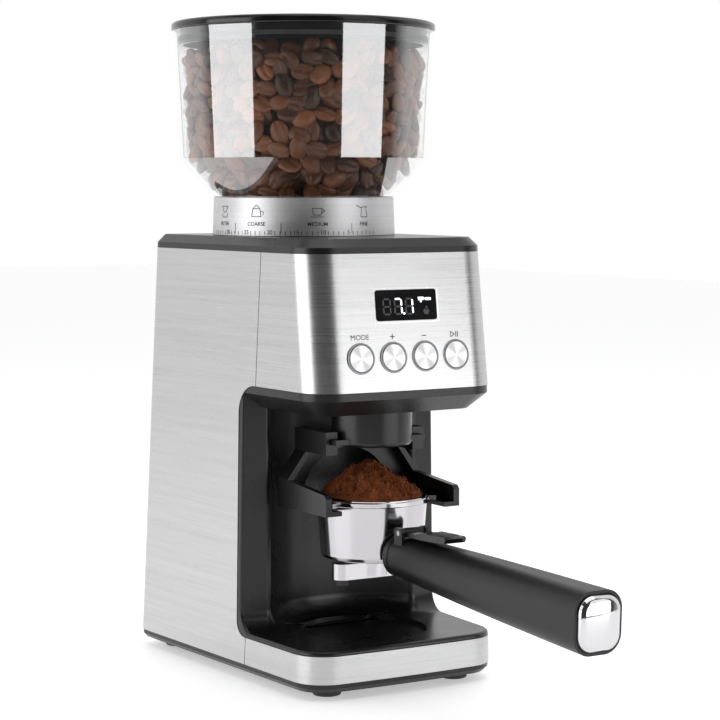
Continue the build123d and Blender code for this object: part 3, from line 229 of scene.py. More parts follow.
casing_black = moulded("casing_black", (0.007, 0.007, 0.0075), rough=0.28)
cradle_black = moulded("cradle_black", (0.007, 0.007, 0.0075), rough=0.34)
grip_black = moulded("grip_black", (0.005, 0.005, 0.0055), rough=0.42, grain=4200.0,
                     strength=0.2)
gloss_black = moulded("gloss_black", (0.006, 0.006, 0.0065), rough=0.14, grain=1500.0,
                     strength=0.03)
foot_rubber = moulded("foot_rubber", (0.05, 0.05, 0.05), rough=0.75, grain=1800.0,
                     strength=0.3)
inner_grey = moulded("inner_grey", (0.10, 0.10, 0.11), rough=0.5)
natural = moulded("natural_moulding", (0.62, 0.60, 0.54), rough=0.45)
dress(casing_black, "bay_frame", "base_plate", "top_deck", "outlet_nozzle")
dress(cradle_black, "cradle")
dress(grip_black, "handle", "handle_ferrule")
dress(gloss_black, "lid", "basket_clip")
dress(foot_rubber, "feet", "lid_seal", "spout_tips", "cord_gland")
dress(inner_grey, "chassis", "display_module", "outlet_chute", "burr_chamber", "gearbox_case",
      "tact_switches", "motor_end_cap", "hopper_switch")
dress(natural, "drive_gear", "impeller", "burr_carrier")
print("plastics done")

# %% [markdown]
# ## Bright metals
# The cup, spout and handle cap are polished and plated, so they are almost mirrors with a trace
# of unevenness. The collar is turned: its lines run round it, and round a vertical axis that is
# the same stretched noise.

# %% Chrome, turned aluminium and plain metals
def polished(name, color, rough, waviness=0.04):
    finish = Finish(name, metallic=1.0)
    cloud = finish.noise(finish.place(), 60.0, 2.0)
    finish.set(base_color=finish.blend(cloud, (*[c * 0.95 for c in color], 1), (*color, 1)))
    finish.set(roughness=cloud * 0.06 + (rough - 0.03))
    finish.set(normal=finish.bump(cloud, waviness, 0.0004))
    return finish


chrome = polished("chrome", (0.56, 0.545, 0.565), rough=0.12)
turned = brushed("turned_collar", (0.66, 0.66, 0.67), rough=0.46, across=5200.0, along=30.0,
                 strength=0.15)
plain_steel = polished("plain_steel", (0.52, 0.52, 0.53), rough=0.32)
burr_steel = polished("burr_steel", (0.34, 0.34, 0.35), rough=0.28)
brass = polished("brass", (0.72, 0.54, 0.26), rough=0.28)
copper = polished("copper", (0.80, 0.42, 0.26), rough=0.25)
magnet = moulded("ferrite", (0.06, 0.06, 0.06), rough=0.6)
board = moulded("board_green", (0.02, 0.14, 0.06), rough=0.35)
dress(chrome, "portafilter_cup", "spout", "filter_basket")
dress(turned, "adjust_collar")
dress(plain_steel, "base_screws", "ball_bearings", "motor_can", "motor_screws", "motor_shaft",
      "armature", "pinion", "drive_shaft", "burr_nut", "handle_bolt", "clip_pin")
dress(burr_steel, "cone_burr", "ring_burr")
dress(brass, "motor_bushes")
dress(polished("dark_rim", (0.20, 0.20, 0.21), rough=0.25), "button_bezels")
dress(copper, "commutator")
dress(magnet, "motor_magnets")
dress(board, "control_board", "power_board")
print("metals done")

# %% [markdown]
# The handle's end cap is plated and shallowly domed. A bump whose height falls with the square of
# the distance from the cap's middle bends the reflections as such a dome does.

# %% The handle's end cap
cap_low, cap_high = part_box("handle_end_cap")
domed = Finish("domed_chrome", metallic=1.0, base_color=(0.66, 0.66, 0.67))
across, _, upward = domed.about((cap_low + cap_high) / 2)
bulge = (across * across + upward * upward) * -14.0
smear = domed.noise(domed.place(), 90.0, 2.0)
domed.set(roughness=smear * 0.05 + 0.05, normal=domed.bump(bulge, 1.0, 1.0))
dress(domed, "handle_end_cap")
print("end cap done")

# %% [markdown]
# ## Spun button caps
# Each cap is faced on a lathe, so its scratches are circles about its own middle. The bright fans
# that such scratches throw are painted highlights: they are painted into the base colour and stay
# fixed to the cap. The fans come from the angle about the cap's centre line, and the fine rings,
# which are the real turning marks, from the distance to it.

# %% One finish for each button
RING_DEPTH = 0.00003  # in metres


def spun_cap(name):
    low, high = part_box(name)
    middle = Vector(((low.x + high.x) / 2, low.y, (low.z + high.z) / 2))
    finish = Finish("spun_" + name, metallic=1.0)
    x, _, z = finish.about(middle)
    angle = finish.node("ShaderNodeMath", {0: z, 1: x}, operation="ARCTAN2")
    # painted highlights: bright fans and one broad sweep, laid out by the angle about the cap's
    # middle
    painted_fans = finish.node("ShaderNodeMath", {0: angle * 4.0 + 0.9}, operation="COSINE") * 0.5 + 0.5
    painted_sweep = finish.node("ShaderNodeMath", {0: angle * 2.0 - 1.1}, operation="COSINE") * 0.5 + 0.5
    radius = (x * x + z * z) ** 0.5
    rings = finish.noise(finish.node("ShaderNodeCombineXYZ", {0: radius * 9000.0}), 1.0, 2.0)
    # the base colour mixes the painted fan highlights with the real turning rings
    light = finish.ramp(painted_fans * 0.6 + painted_sweep * 0.2 + rings * 0.2, (0.15, 0.40), (0.85, 0.72))
    finish.set(base_color=light, roughness=rings * 0.2 + 0.22)
    finish.set(normal=finish.bump(rings, 0.2, RING_DEPTH))
    dress(finish, name)


for cap in ("button_mode", "button_plus", "button_minus", "button_start"):
    spun_cap(cap)
print("buttons done")

# %% [markdown]
# ## Clear hopper and black display glass
# The hopper's wall is two millimetres thick and bends light very little, so it is drawn as a thin
# film: what lies behind shows straight through it, and a mirror is mixed in that grows towards
# the edges. A real solid of glass would leave the beans in the dark, because lamps can't shine
# through it. The mirror's even share is more than real plastic has: it makes the soft boxes stand
# out from the front.

# %% Clear wall and display window
clear = Finish("clear_wall", base_color=(0.95, 0.96, 0.97), roughness=0.04, metallic=1.0)
haze = clear.noise(clear.place(), 25.0, 2.0)
edge = clear.node("ShaderNodeFresnel", {"IOR": 1.5})
front = 1 - clear.node("ShaderNodeNewGeometry", output="Backfacing")
through = clear.node("ShaderNodeBsdfTransparent", {0: (0.985, 0.985, 0.98)})
mirror = Wire(clear, clear.shader.outputs[0])
EVEN_MIRROR = 0.17
share = front * (edge * 1.1 + haze * 0.04 + EVEN_MIRROR)
mixed = clear.node("ShaderNodeMixShader", {0: share, 1: through, 2: mirror})
clear.tree.links.new(mixed.socket, clear.tree.nodes["Material Output"].inputs[0])
dress(clear, "hopper")

window = Finish("display_glass", base_color=(0.006, 0.006, 0.007), specular_ior_level=0.7)
window.set(roughness=window.noise(window.place(), 120.0, 2.0) * 0.05 + 0.03)
dress(window, "display_window")
print("hopper and window done")

# %% [markdown]
# ## Roasted beans
# A bean is a squashed egg whose flat side carries a crease. One bean is a grid of points bent by
# a formula, and the hopper's fill is that grid repeated: rows of beans stand against the clear
# wall, a second layer closes the gaps, and a rough dark core fills the middle that nobody sees.

# %% One bean and a way to lay many
def mesh_piece(name, vertices, faces, finish, body, slot=None, smooth=True):
    """Makes an object from points in metres, gives it a finish and lets it ride on a body."""
    data = bpy.data.meshes.new(name)
    data.from_pydata([tuple(v) for v in vertices], [], faces)
    data.validate()
    data.materials.append(finish.material)
    data.polygons.foreach_set("use_smooth", [smooth] * len(data.polygons))
    piece = bpy.data.objects.new(name, data)
    scene.collection.objects.link(piece)
    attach(piece, body)
    return piece


ROUNDNESS, FLATTENING = 0.85, 0.6
CREASE_DEPTH, CREASE_WIDTH = 1.7, 0.55  # in millimetres


def bean_shape(length=14.6, width=10.6, height=7.6, around=26, along=12):
    """Points and faces of one bean in millimetres, on its flat side, its length along X."""
    points, faces = [Vector((-length / 2, 0, 0))], []
    for ring in range(1, along):
        t = math.pi * ring / along
        for step in range(around):
            turn = 2 * math.pi * step / around
            x = -math.cos(t) * length / 2
            y = math.sin(t) ** ROUNDNESS * math.cos(turn) * width / 2
            z = math.sin(t) ** ROUNDNESS * math.sin(turn) * height / 2
            if z < 0:
                crease = math.exp(-((y - 0.35 * math.sin(x * 0.5)) / CREASE_WIDTH) ** 2)
                z = z * FLATTENING + crease * CREASE_DEPTH * math.sin(t)
            points.append(Vector((x, y, z)))
    points.append(Vector((length / 2, 0, 0)))
    for step in range(around):
        after = (step + 1) % around
        faces.append((0, 1 + after, 1 + step))
        last = 1 + (along - 2) * around
        faces.append((last + step, last + after, len(points) - 1))
        for ring in range(along - 2):
            a = 1 + ring * around
            faces.append((a + step, a + after, a + around + after, a + around + step))
    return points, faces


bean_points, bean_faces = bean_shape()
# the inside of the clear wall, as (radius, height) in millimetres
wall_line = [(28.0, 238.5), (28.0, 264.3), (51.3, 277.3), (71.0, 298.9), (74.8, 372.7)]


def wall_radius(height):
    """The clear wall's inner radius at a height, in millimetres."""
    for (r0, z0), (r1, z1) in zip(wall_line, wall_line[1:]):
        if height <= z1:
            return r0 + (r1 - r0) * (height - z0) / (z1 - z0)
    return wall_line[-1][0]


LAYERS = ((6.2, 262, 8.4), (14.0, 268, 9.0))  # inset from the wall, lowest row, row to row
BEAN_TO_BEAN, CONE_TOP, FILL_TOP = 10.8, 300, 359
LOOSE_BEANS, LOOSE_RADIUS, LOOSE_HEIGHT = 130, 61, 355
GOLDEN_TURN = 2.39996  # in radians: this turn from bean to bean fills a disc evenly


def bean_places(chance):
    """Angle, radius and height of each bean: rows at the wall, a layer behind, a loose top."""
    places = []
    for inset, low, pitch in LAYERS:
        height, row = low, 0
        while height < FILL_TOP:
            radius = wall_radius(height) - inset - (2.0 if height < CONE_TOP else 0.0)
            count = max(5, int(2 * math.pi * radius / BEAN_TO_BEAN))
            for index in range(count):
                even = 2 * math.pi * (index + 0.5 * (row % 2)) / count
                turn = even + chance.uniform(-0.25, 0.25) / (radius / 9)
                out, up = radius + chance.uniform(-0.6, 0.5), height + chance.uniform(-2.0, 2.0)
                places.append((turn, out, up))
            height, row = height + pitch, row + 1
    for index in range(LOOSE_BEANS):
        radius = LOOSE_RADIUS * math.sqrt((index + 0.5) / LOOSE_BEANS)
        places.append((index * GOLDEN_TURN, radius, LOOSE_HEIGHT + chance.uniform(-2.0, 4.0)))
    return places


def lay_beans():
    """Places and turns one bean after another, all in one mesh."""
    chance = random.Random(7)
    places = bean_places(chance)
    vertices, faces = [], []
    for turn, radius, height in places:
        out = Vector((math.cos(turn), math.sin(turn), 0))
        facing = chance.choice((-90, -90, 90)) + chance.uniform(-38, 38)
        spin = Matrix.Rotation(turn, 4, "Z") @ Matrix.Rotation(math.radians(facing), 4, "Y")
        spin = spin @ Matrix.Rotation(chance.uniform(0, 2 * math.pi), 4, "Z")
        spin = spin @ Matrix.Rotation(math.radians(chance.uniform(-18, 18)), 4, "X")
        size = chance.uniform(0.86, 1.08)
        start = len(vertices)
        middle = from_axis(out.x * radius, out.y * radius, height)
        vertices += [middle + spin.to_3x3() @ p * (size * MM) for p in bean_points]
        faces += [tuple(start + i for i in face) for face in bean_faces]
    return vertices, faces, len(places)


roast = Finish("roasted_bean", specular_ior_level=0.5)
each = roast.node("ShaderNodeNewGeometry", output="Random Per Island")
mottle = roast.noise(roast.place(), 500.0, 3.0)
tone = roast.ramp(each * 0.6 + mottle * 0.5, (0.2, 0.0), (0.85, 1.0))
roast.set(base_color=roast.blend(tone, (0.020, 0.007, 0.0035, 1), (0.27, 0.095, 0.036, 1)))
roast.set(roughness=mottle * 0.2 + 0.24, normal=roast.bump(mottle, 0.35, 0.0003))
vertices, faces, bean_count = lay_beans()
mesh_piece("beans", vertices, faces, roast, "hopper")
print("beans laid:", bean_count, "faces:", len(faces))

# %% [markdown]
# Between the beans one sees more beans, never daylight. A lathed core with a wavy surface stands
# behind the two layers in the same roast colour, and spares the thousands that would fill it.

# %% The dark core behind the beans
def lathe(profile, middle, steps=72, wobble=0.0):
    """Turns (radius, height) points in millimetres about an upright axis, with closed ends."""
    vertices, faces = [], []
    for radius, height in profile:
        for step in range(steps):
            turn = 2 * math.pi * step / steps
            where = Vector((math.cos(turn) * 3, math.sin(turn) * 3, height * 0.12))
            r = max(radius + wobble * noise.noise(where), 0.2)
            vertices.append(middle + Vector((r * math.cos(turn), r * math.sin(turn), height)) * MM)
    for ring in range(len(profile) - 1):
        for step in range(steps):
            after = (step + 1) % steps
            a, b = ring * steps, (ring + 1) * steps
            faces.append((a + step, a + after, b + after, b + step))
    faces.append(tuple(reversed(range(steps))))
    faces.append(tuple(range((len(profile) - 1) * steps, len(profile) * steps)))
    return vertices, faces


CORE_INSET, CORE_LEAST, CORE_TOP = 16.5, 14, [(48, 350), (20, 352)]  # in millimetres
core_profile = [(wall_radius(h) - CORE_INSET, h) for h in (268, 280, 300, 320, 340)]
core_profile = [(max(r, CORE_LEAST), h) for r, h in core_profile + CORE_TOP]
vertices, faces = lathe(core_profile, axis, wobble=3.0)
mesh_piece("bean_core", vertices, faces, roast, "hopper")
print("core radius %.1f to %.1f mm" % (core_profile[0][0], max(core_profile)[0]))

# %% [markdown]
# ## Ground coffee
# Ground coffee falls into a lumpy cone. A polar grid takes a cone's height, several sizes of
# noise break it up, and a few thousand crumbs lie on it so that its outline is grainy.

# %% The heap in the basket
HEAP_FOOT, HEAP_RISE, HEAP_REACH = 106.4, 20.0, 29.5
BASKET_RADIUS, HEAP_RADIUS, CRUMB_RADIUS = 29.6, 29.0, 28.4
SKIRT = ((27.2, 106.0), (26.4, 94.0))  # the heap's hidden lower rings, (radius, height)
CRUMBS = 2600


def heap_height(x, y):
    """The heap's surface in millimetres above the worktop, at x and y about the outlet's axis."""
    radius = math.hypot(x, y)
    slope = max(0.0, 1 - ((x + 0.5) ** 2 + (y - 1.0) ** 2) ** 0.5 / HEAP_REACH) ** 0.85
    cone = HEAP_FOOT + HEAP_RISE * slope
    lumps = sum(noise.noise(Vector((x * f, y * f, 3.1 * f))) * a
                for f, a in ((0.09, 3.2), (0.25, 2.6), (0.7, 1.5)))
    return cone + lumps * min(1.0, max(0.0, (BASKET_RADIUS - radius) / 6))


def coffee_heap(rings=46, steps=120):
    chance = random.Random(3)
    vertices, faces = [], []
    for ring in range(rings + 1):
        radius = HEAP_RADIUS * ring / rings
        for step in range(steps):
            turn = 2 * math.pi * step / steps
            x, y = radius * math.cos(turn), radius * math.sin(turn)
            grit = chance.uniform(-0.28, 0.28) if ring < rings else 0.0
            vertices.append(outlet + Vector((x, y, heap_height(x, y) + grit)) * MM)
    for radius, height in SKIRT:
        for step in range(steps):
            turn = 2 * math.pi * step / steps
            x, y = radius * math.cos(turn), radius * math.sin(turn)
            vertices.append(outlet + Vector((x, y, height)) * MM)
    for ring in range(rings + 2):
        for step in range(steps):
            after = (step + 1) % steps
            a, b = ring * steps, (ring + 1) * steps
            faces.append((a + step, b + step, b + after, a + after))
    faces.append(tuple(reversed(range((rings + 2) * steps, (rings + 3) * steps))))
    crumb = [(1, 0, 0), (0, 1, 0), (-1, 0, 0), (0, -1, 0), (0, 0, 1), (0, 0, -1)]
    crumb_faces = [(0, 1, 4), (1, 2, 4), (2, 3, 4), (3, 0, 4),
                   (1, 0, 5), (2, 1, 5), (3, 2, 5), (0, 3, 5)]
    for _ in range(CRUMBS):
        radius, turn = CRUMB_RADIUS * math.sqrt(chance.random()), chance.uniform(0, 2 * math.pi)
        x, y = radius * math.cos(turn), radius * math.sin(turn)
        size = chance.uniform(0.3, 1.0)
        roll = chance.uniform(0, 6.3)
        spin = Matrix.Rotation(roll, 3, Vector((chance.random(), chance.random(), 1)).normalized())
        start = len(vertices)
        middle = outlet + Vector((x, y, heap_height(x, y) + size * 0.3)) * MM
        vertices += [middle + spin @ Vector(c) * (size * chance.uniform(0.7, 1.2) * MM)
                     for c in crumb]
        faces += [tuple(start + i for i in face) for face in crumb_faces]
    return vertices, faces


grounds = Finish("ground_coffee", specular_ior_level=0.25)
speck = grounds.noise(grounds.place(), 1500.0, 4.0, 0.75)
patch = grounds.noise(grounds.place(), 260.0, 3.0)
earth = grounds.ramp(speck * 0.6 + patch * 0.4, (0.33, 0.0), (0.68, 1.0))
grounds.set(base_color=grounds.blend(earth, (0.024, 0.006, 0.0025, 1), (0.46, 0.125, 0.038, 1)))
grounds.set(roughness=patch * 0.2 + 0.75, normal=grounds.bump(speck, 0.9, 0.0008))
vertices, faces = coffee_heap()
heap = mesh_piece("coffee_heap", vertices, faces, grounds, "portafilter", smooth=False)
print("heap top %.1f mm" % (max(v.co.z for v in heap.data.vertices) / MM))

# %% [markdown]
# ## Printed marks
# The dial's figures stand on the aluminium collar, so each flat letter is bent round the collar's
# own radius. The labels and the display's segments are flat shapes too, laid on their faces
# corner by corner.

# %% Flat and curved lettering
def speckled(name, rough, **constants):
    """A plain finish whose gloss varies a little from spot to spot."""
    finish = Finish(name, **constants)
    return finish.set(roughness=finish.noise(finish.place(), 900.0) * 0.16 + (rough - 0.08))


black_ink = speckled("black_print", 0.5, base_color=(0.012, 0.012, 0.012))


def letters(text, height, bold=0.0):
    """Vertices (x, y in millimetres, middle of the text at 0, 0) and faces of some text."""
    curve = bpy.data.curves.new("letters", "FONT")
    curve.body, curve.size, curve.align_x, curve.align_y = text, height * 1.38, "CENTER", "CENTER"
    curve.offset = bold
    made = bpy.data.objects.new("letters", curve)
    mesh = bpy.data.meshes.new_from_object(made)
    points = [(v.co.x, v.co.y) for v in mesh.vertices]
    faces = [tuple(p.vertices) for p in mesh.polygons]
    bpy.data.objects.remove(made)
    bpy.data.curves.remove(curve)
    bpy.data.meshes.remove(mesh)
    return points, faces


def bar(x0, y0, x1, y1, width):
    """A thin bar from one point to another, as points and a face."""
    along = Vector((x1 - x0, y1 - y0))
    side = Vector((-along.y, along.x)).normalized() * (width / 2)
    start, end = Vector((x0, y0)), Vector((x1, y1))
    corners = [tuple(p) for p in (start + side, start - side, end - side, end + side)]
    return corners, [(0, 1, 2, 3)]


def shifted(shape, dx, dy):
    points, faces = shape
    return [(x + dx, y + dy) for x, y in points], faces


def joined(*shapes):
    """Several shapes as one list of points and one of faces."""
    points, faces = [], []
    for some, their in shapes:
        start = len(points)
        points += some
        faces += [tuple(start + i for i in face) for face in their]
    return points, faces


def split_long(shape, longest=1.2):
    """Cuts long edges, so that a shape can bend."""
    work = bmesh.new()
    corners = [work.verts.new((x, y, 0)) for x, y in shape[0]]
    for face in shape[1]:
        if len(set(face)) > 2:
            try:
                work.faces.new([corners[i] for i in face])
            except ValueError:
                pass
    bmesh.ops.triangulate(work, faces=work.faces)
    for _ in range(5):
        edges = [e for e in work.edges if e.calc_length() > longest]
        if not edges:
            break
        bmesh.ops.subdivide_edges(work, edges=edges, cuts=1)
    bmesh.ops.triangulate(work, faces=[f for f in work.faces if len(f.verts) > 3])
    work.verts.index_update()
    points = [(v.co.x, v.co.y) for v in work.verts]
    faces = [tuple(v.index for v in f.verts) for f in work.faces]
    work.free()
    return points, faces


print("lettering tools ready")

# %% [markdown]
# The collar is a little narrower at its top than at its foot, so each point of the print takes
# the collar's radius at its own height, plus a film of ink. Ticks and figures run along the foot,
# and above them stand four drinks with the grind that each one needs.

# %% The dial on the collar
collar_low, collar_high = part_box("adjust_collar")
low_radius = (collar_high.x - collar_low.x) / 2 / MM
INK_FILM = 0.07  # in millimetres
flare = 0.8  # the collar widens by this much from its top to its foot, in millimetres


def collar_at(height):
    """The collar's outer radius at a height, in millimetres, with a film of ink on it."""
    up = (height - collar_low.z / MM) / ((collar_high.z - collar_low.z) / MM)
    return low_radius - flare * up + INK_FILM


ICONS = {
    "pot": [(-2.6, -2.6, 2.6, -2.6), (-2.6, -2.6, -2.0, 1.2), (2.6, -2.6, 2.0, 1.2),
            (-2.0, 1.2, 2.0, 1.2), (-2.0, 1.2, 0, 3.0), (2.0, 1.2, 0, 3.0),
            (2.2, 0, 3.9, -0.4), (3.9, -0.4, 3.6, -2.0)],
    "cup": [(-2.6, 1.4, 2.2, 1.4), (-2.6, 1.4, -2.0, -1.8), (2.2, 1.4, 1.6, -1.8),
            (-2.0, -1.8, 1.6, -1.8), (2.2, 0.9, 3.6, 0.3), (3.6, 0.3, 2.0, -0.8),
            (-3.4, -2.7, 3.0, -2.7)],
    "ewer": [(-1.8, -2.8, 2.0, -2.8), (-1.8, -2.8, -1.3, 2.0), (2.0, -2.8, 1.4, 2.0),
             (-1.3, 2.0, 1.4, 2.0), (-1.3, 1.4, -4.4, 2.8), (1.4, 1.4, 2.0, 2.6)],
    "cone": [(-2.8, 2.2, 2.8, 2.2), (-2.8, 2.2, -0.8, -0.6), (2.8, 2.2, 0.8, -0.6),
             (-0.8, -0.6, 0.8, -0.6), (-2.0, -3.0, 2.0, -3.0), (-2.0, -3.0, -2.4, -1.2),
             (2.0, -3.0, 2.4, -1.2)],
}


def icon(kind):
    """A small outline drawing of a drink, in millimetres about its middle."""
    return joined(*[bar(*line, 0.32) for line in ICONS[kind]])


def scaled(shape, factor):
    points, faces = shape
    return [(x * factor, y * factor) for x, y in points], faces


TICKS, FIRST_TICK, TICK_STEP = 37, -71.4, 3.3  # angles in degrees
NUMBERS = {2: 1, 6: 5, 11: 10, 16: 15, 21: 20, 26: 25, 31: 30}  # tick: its number
DIVIDERS = (-88.8, -133.5, -166.5)
GRINDS = (("ewer", -79.5, "FINE"), ("cup", -111.0, "MEDIUM"), ("pot", -150.0, "COARSE"),
          ("cone", -178.0, "FILTER"))
TICK_Z, DIVIDER_Z, NUMBER_Z, WORD_Z, ICON_Z = 253.8, 254.6, 255.2, 260.0, 267.4
LINE = 0.34  # the width of a tick, in millimetres


def dial_marks():
    """Each mark as a flat shape, with its angle in degrees and its height in millimetres."""
    marks = []
    for step in range(TICKS):
        angle = FIRST_TICK - TICK_STEP * step
        if step in NUMBERS:
            marks.append((letters(str(NUMBERS[step]), 2.5, 0.02), angle, NUMBER_Z))
        else:
            marks.append((bar(0, 0, 0, 2.2, LINE), angle, TICK_Z))
    for angle in DIVIDERS:
        marks.append((bar(0, 0, 0, 6.0, LINE), angle, DIVIDER_Z))
    for kind, angle, word in GRINDS:
        marks.append((scaled(icon(kind), 1.2), angle, ICON_Z))
        marks.append((letters(word, 2.3, 0.02), angle, WORD_Z))
    return marks


def bent(shape, angle, height):
    """Bends a flat shape round the collar."""
    points, faces = split_long(shape)
    placed = []
    for x, y in points:
        radius = collar_at(height + y)
        turn = math.radians(angle) + x / radius
        placed.append(from_axis(radius * math.cos(turn), radius * math.sin(turn), height + y))
    return placed, faces


vertices, faces = joined(*[bent(*mark) for mark in dial_marks()])
mesh_piece("dial_print", vertices, faces, black_ink, "hopper", "black_plastic", smooth=False)
print("dial marks:", len(faces), "faces")

# %% [markdown]
# Labels and display segments lie on the leaning control face. A ray from the front finds the
# face's own height and tilt at each spot, so the print follows the metal.

# %% Finding a spot on a CAD face
def spot(name, x, z):
    """The point on a CAD node seen from the front at x and z, and its outward direction."""
    node = nodes[name]
    inverse = node.matrix_world.inverted()
    start = inverse @ Vector((x * MM, -0.6, z * MM))
    way = (inverse.to_3x3() @ Vector((0, 1, 0))).normalized()
    hit, place, normal, _ = node.ray_cast(start, way)
    assert hit, (name, x, z)
    return node.matrix_world @ place, (node.matrix_world.to_3x3() @ normal).normalized()


BELOW_WINDOW = 199  # a height on the control face that misses the window, in millimetres
rise = math.sqrt(1 - spot("head_panel", 0, BELOW_WINDOW)[1].z ** 2)


def on_face(name, x, z, shape, lift=0.06):
    """Lays a flat shape on the face at x and z, each corner lifted off it by a hair."""
    laid = []
    for a, b in shape[0]:
        place, normal = spot(name, x + a, z + b * rise)
        laid.append(place + normal * (lift * MM))
    return laid, shape[1]


print("control face rises %.4f for each unit along it" % rise)

# %% [markdown]
# Each button has its sign above it: a word, a plus, a minus, and the play and pause marks. All of
# them are one piece, because they are one print on the metal.

# %% Labels above the buttons
start_sign = joined(bar(-2.6, 1.6, -2.6, -1.6, 0.42), bar(-2.6, 1.5, -0.1, 0, 0.42),
                    bar(-2.6, -1.5, -0.1, 0, 0.42), bar(0.9, -1.5, 0.9, 1.5, 0.55),
                    bar(2.1, -1.5, 2.1, 1.5, 0.55))
level_line, upright_line = bar(-1.5, 0, 1.5, 0, 0.5), bar(0, -1.5, 0, 1.5, 0.5)
mode_x, plus_x, minus_x, start_x, label_z = -30.9, -10.3, 10.3, 30.9, 199.3
signs = ((mode_x, letters("MODE", 3.0)), (plus_x, level_line), (plus_x, upright_line),
         (minus_x, level_line), (start_x, start_sign))
labels = joined(*[on_face("head_panel", x, label_z, sign) for x, sign in signs])
mesh_piece("button_labels", *labels, black_ink, "housing", "black_plastic", smooth=False)
print("labels laid")

# %% [markdown]
# The sheet's cut edge round the display catches the light. Four thin bars outline the opening,
# the right one widest, where the most of that edge is seen. Their metal is brighter than the
# sheet: that brightness is a painted highlight on the edge.

# %% A bevel round the display, with a painted highlight
half_wide, half_high = 20.7, 9.4
window_low, window_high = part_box("display_window")
screen_z = (window_low.z + window_high.z) / 2 / MM
edges = [(-half_wide, half_high, half_wide, half_high, 0.15),
         (-half_wide, -half_high, -half_wide, half_high, 0.15),
         (-half_wide, -half_high, half_wide, -half_high, 0.35),
         (half_wide, -half_high, half_wide, half_high, 0.8)]
# lighter metal than the sheet steel: a painted highlight on the cut edge
painted_edge_highlight = Finish("bevel_painted_highlight", metallic=1.0, base_color=(0.85, 0.85, 0.86))
painted_edge_highlight.set(roughness=painted_edge_highlight.noise(painted_edge_highlight.place(), 300.0) * 0.1 + 0.2)
bevel = joined(*[on_face("head_panel", 0, screen_z, split_long(bar(*edge)), 0.08)
                 for edge in edges])
mesh_piece("display_bevel", *bevel, painted_edge_highlight, "housing", "chrome", smooth=False)
print("bevel round the display, z %.1f" % screen_z)

# %% [markdown]
# ## The lit display
# The numerals are seven-segment figures. Segments that are on glow white, and those that are off
# still show as a faint grey in the black glass.

# %% Segments and icons
SEGMENTS = {"a": (0, 1, 1, 1), "b": (1, 0.5, 1, 1), "c": (1, 0, 1, 0.5), "d": (0, 0, 1, 0),
            "e": (0, 0, 0, 0.5), "f": (0, 0.5, 0, 1), "g": (0, 0.5, 1, 0.5)}


def digit(keys, wide=4.4, high=8.4, thick=0.95, lean=-0.03):
    """The named segments of a seven-segment figure."""
    shapes = []
    for key in keys:
        x0, y0, x1, y1 = SEGMENTS[key]
        a = Vector(((x0 - 0.5) * wide, (y0 - 0.5) * high))
        b = Vector(((x1 - 0.5) * wide, (y1 - 0.5) * high))
        gap = (b - a).normalized() * 0.32
        a, b = a + gap, b - gap
        along = (b - a).normalized() * (thick / 2)
        side = Vector((-along.y, along.x))
        corners = [a, a + along + side, b - along + side, b, b - along - side, a + along - side]
        shapes.append(([(p.x + p.y * lean, p.y) for p in corners], [(0, 1, 2, 3, 4, 5)]))
    return joined(*shapes)


def disc(radius, steps=20):
    turns = [2 * math.pi * i / steps for i in range(steps)]
    return [(radius * math.cos(t), radius * math.sin(t)) for t in turns], [tuple(range(steps))]


lit = speckled("lit_segment", 0.5, base_color=(0.8, 0.82, 0.85), emission_strength=2.2,
               emission_color=(0.92, 0.96, 1.0))
ghost = speckled("unlit_segment", 0.25, base_color=(0.028, 0.029, 0.032))
filter_holder = joined(bar(-4.2, 1.0, -0.6, 1.0, 0.5), bar(-4.0, 0.1, -0.8, 0.1, 1.1),
                       bar(-2.9, -1.1, -1.9, -1.1, 1.0), bar(-0.8, 0.3, 0.6, 0.3, 0.6),
                       bar(0.6, 0.2, 4.2, 0.2, 1.4))
drop = joined(shifted(disc(1.9), 0, -0.6), ([(-1.75, 0.1), (1.75, 0.1), (0.4, 2.6)], [(0, 1, 2)]))
left_x, middle_x, right_x, figure_z = -12.7, -5.4, 1.8, screen_z - 0.6
unlit_lift, lit_lift = 0.03, 0.05
dark_marks = [on_face("display_window", x, figure_z, digit(keys), unlit_lift)
              for x, keys in ((left_x, "abcdefg"), (middle_x, "defg"), (right_x, "adefg"))]
dark_marks += [on_face("display_window", 12.8, screen_z - 2.9, drop, unlit_lift)]
lit_marks = [on_face("display_window", middle_x, figure_z, digit("abc"), lit_lift),
             on_face("display_window", -1.7, screen_z - 4.5, disc(0.6), lit_lift),
             on_face("display_window", right_x, figure_z, digit("bc"), lit_lift),
             on_face("display_window", 12.0, screen_z + 3.0, filter_holder, lit_lift)]
mesh_piece("display_unlit", *joined(*dark_marks), ghost, "housing", "display_glass", smooth=False)
mesh_piece("display_lit", *joined(*lit_marks), lit, "housing", "display_glass", smooth=False)
print("display drawn at z %.1f mm" % screen_z)

# %% [markdown]
# ## Studio
# A bright floor, and a world that is white behind the grinder and dark in front of it, which is
# what gives the steel and the chrome their dark reflections. One large soft box stands at the left
# and another at the front right. Each is two lamps, one above the other, and the lower one is the
# stronger. A fifth lamp hangs above. The floor ends close in front, because its corner would
# otherwise show as a pale wedge in the clear wall.

# %% Floor, world and lights
def stage_mesh(name, vertices, faces, material):
    data = bpy.data.meshes.new(name)
    data.from_pydata([tuple(v) for v in vertices], [], faces)
    data.materials.append(material)
    piece = bpy.data.objects.new(name, data)
    scene.collection.objects.link(piece)


floor_finish = Finish("studio_floor", roughness=0.45, specular_ior_level=0.3,
                      emission_strength=0.42)
floor_finish.set(base_color=(0.93, 0.93, 0.935), emission_color=(1.0, 1.0, 1.0))
floor_corners = [(-1.2, -1.2, 0), (3.5, -1.2, 0), (3.5, 6, 0), (-1.2, 6, 0)]  # in metres
stage_mesh("floor", floor_corners, [(0, 1, 2, 3)], floor_finish.material)

world = bpy.data.worlds.new("studio")
scene.world = world
world.use_nodes = True


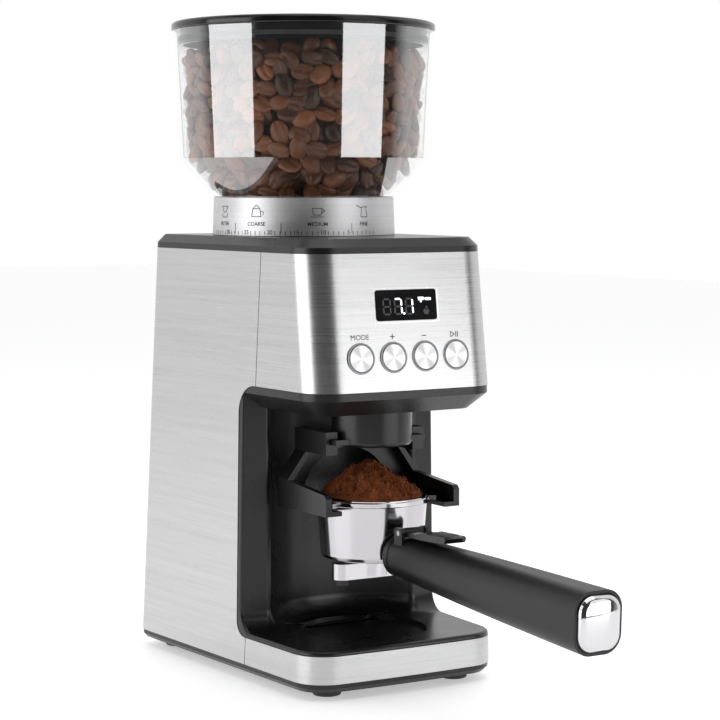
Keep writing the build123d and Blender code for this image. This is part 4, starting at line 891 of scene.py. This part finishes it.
def world_node(kind, inputs, output=0, **settings):
    """Adds a node to the world, feeds its inputs and returns one output."""
    made = world.node_tree.nodes.new(kind)
    for name, value in settings.items():
        setattr(made, name, value)
    for key, value in inputs.items():
        if isinstance(value, bpy.types.NodeSocket):
            world.node_tree.links.new(value, made.inputs[key])
        else:
            made.inputs[key].default_value = value
    return made.outputs[output]


way = world_node("ShaderNodeTexCoord", {}, "Generated")
BACKWARD, DARK_LEVEL = (0.5, 0.866, 0.0), 0.05
behind = world_node("ShaderNodeVectorMath", {0: way, 1: BACKWARD}, "Value", operation="DOT_PRODUCT")
bright = world_node("ShaderNodeMapRange", {0: behind, 1: -0.05, 2: 0.25, 3: DARK_LEVEL, 4: 1.0})
world.node_tree.links.new(bright, world.node_tree.nodes["Background"].inputs["Strength"])
world.node_tree.nodes["Background"].inputs["Color"].default_value = (1, 1, 1, 1)

centre = from_axis(0, -30, 180)


def soft_box(name, azimuth, elevation, distance, wide, high, level):
    """A rectangular lamp that faces the grinder, its azimuth counted from the front."""
    a, e = math.radians(azimuth), math.radians(elevation)
    lamp = bpy.data.lights.new(name, "AREA")
    lamp.shape, lamp.size, lamp.size_y = "RECTANGLE", wide, high
    lamp.energy = level * math.pi * wide * high
    piece = bpy.data.objects.new(name, lamp)
    scene.collection.objects.link(piece)
    toward = Vector((math.sin(a) * math.cos(e), -math.cos(a) * math.cos(e), math.sin(e)))
    piece.location = centre + toward * distance
    piece.rotation_euler = toward.to_track_quat("Z", "Y").to_euler()


soft_box("left_strip", -97, 5, 1.5, 1.2, 0.62, 3.0)
soft_box("left_box", -97, 30, 1.5, 1.2, 0.7, 1.3)
soft_box("right_strip", 25, 1.5, 1.6, 1.2, 0.40, 3.0)
soft_box("right_box", 25, 27, 1.6, 1.2, 0.9, 1.15)
soft_box("top_box", 0, 80, 1.3, 1.2, 1.2, 1.3)
print("studio lit")

# %% [markdown]
# ## Camera
# A long lens from the front left, a little above the control panel.

# %% Camera
lens = bpy.data.cameras.new("camera")
lens.lens, lens.sensor_width = 107.889, 36  # in millimetres
lens.clip_start, lens.clip_end = 0.05, 50  # in metres
camera = bpy.data.objects.new("camera", lens)
scene.collection.objects.link(camera)
camera.location = from_axis(-635.4, -1121.4, 282.2)
aim = from_axis(28.7, -17.3, 177.9) - camera.location
camera.rotation_euler = aim.to_track_quat("-Z", "Y").to_euler()
scene.camera = camera
scene.view_settings.view_transform = "Standard"
print("camera set")
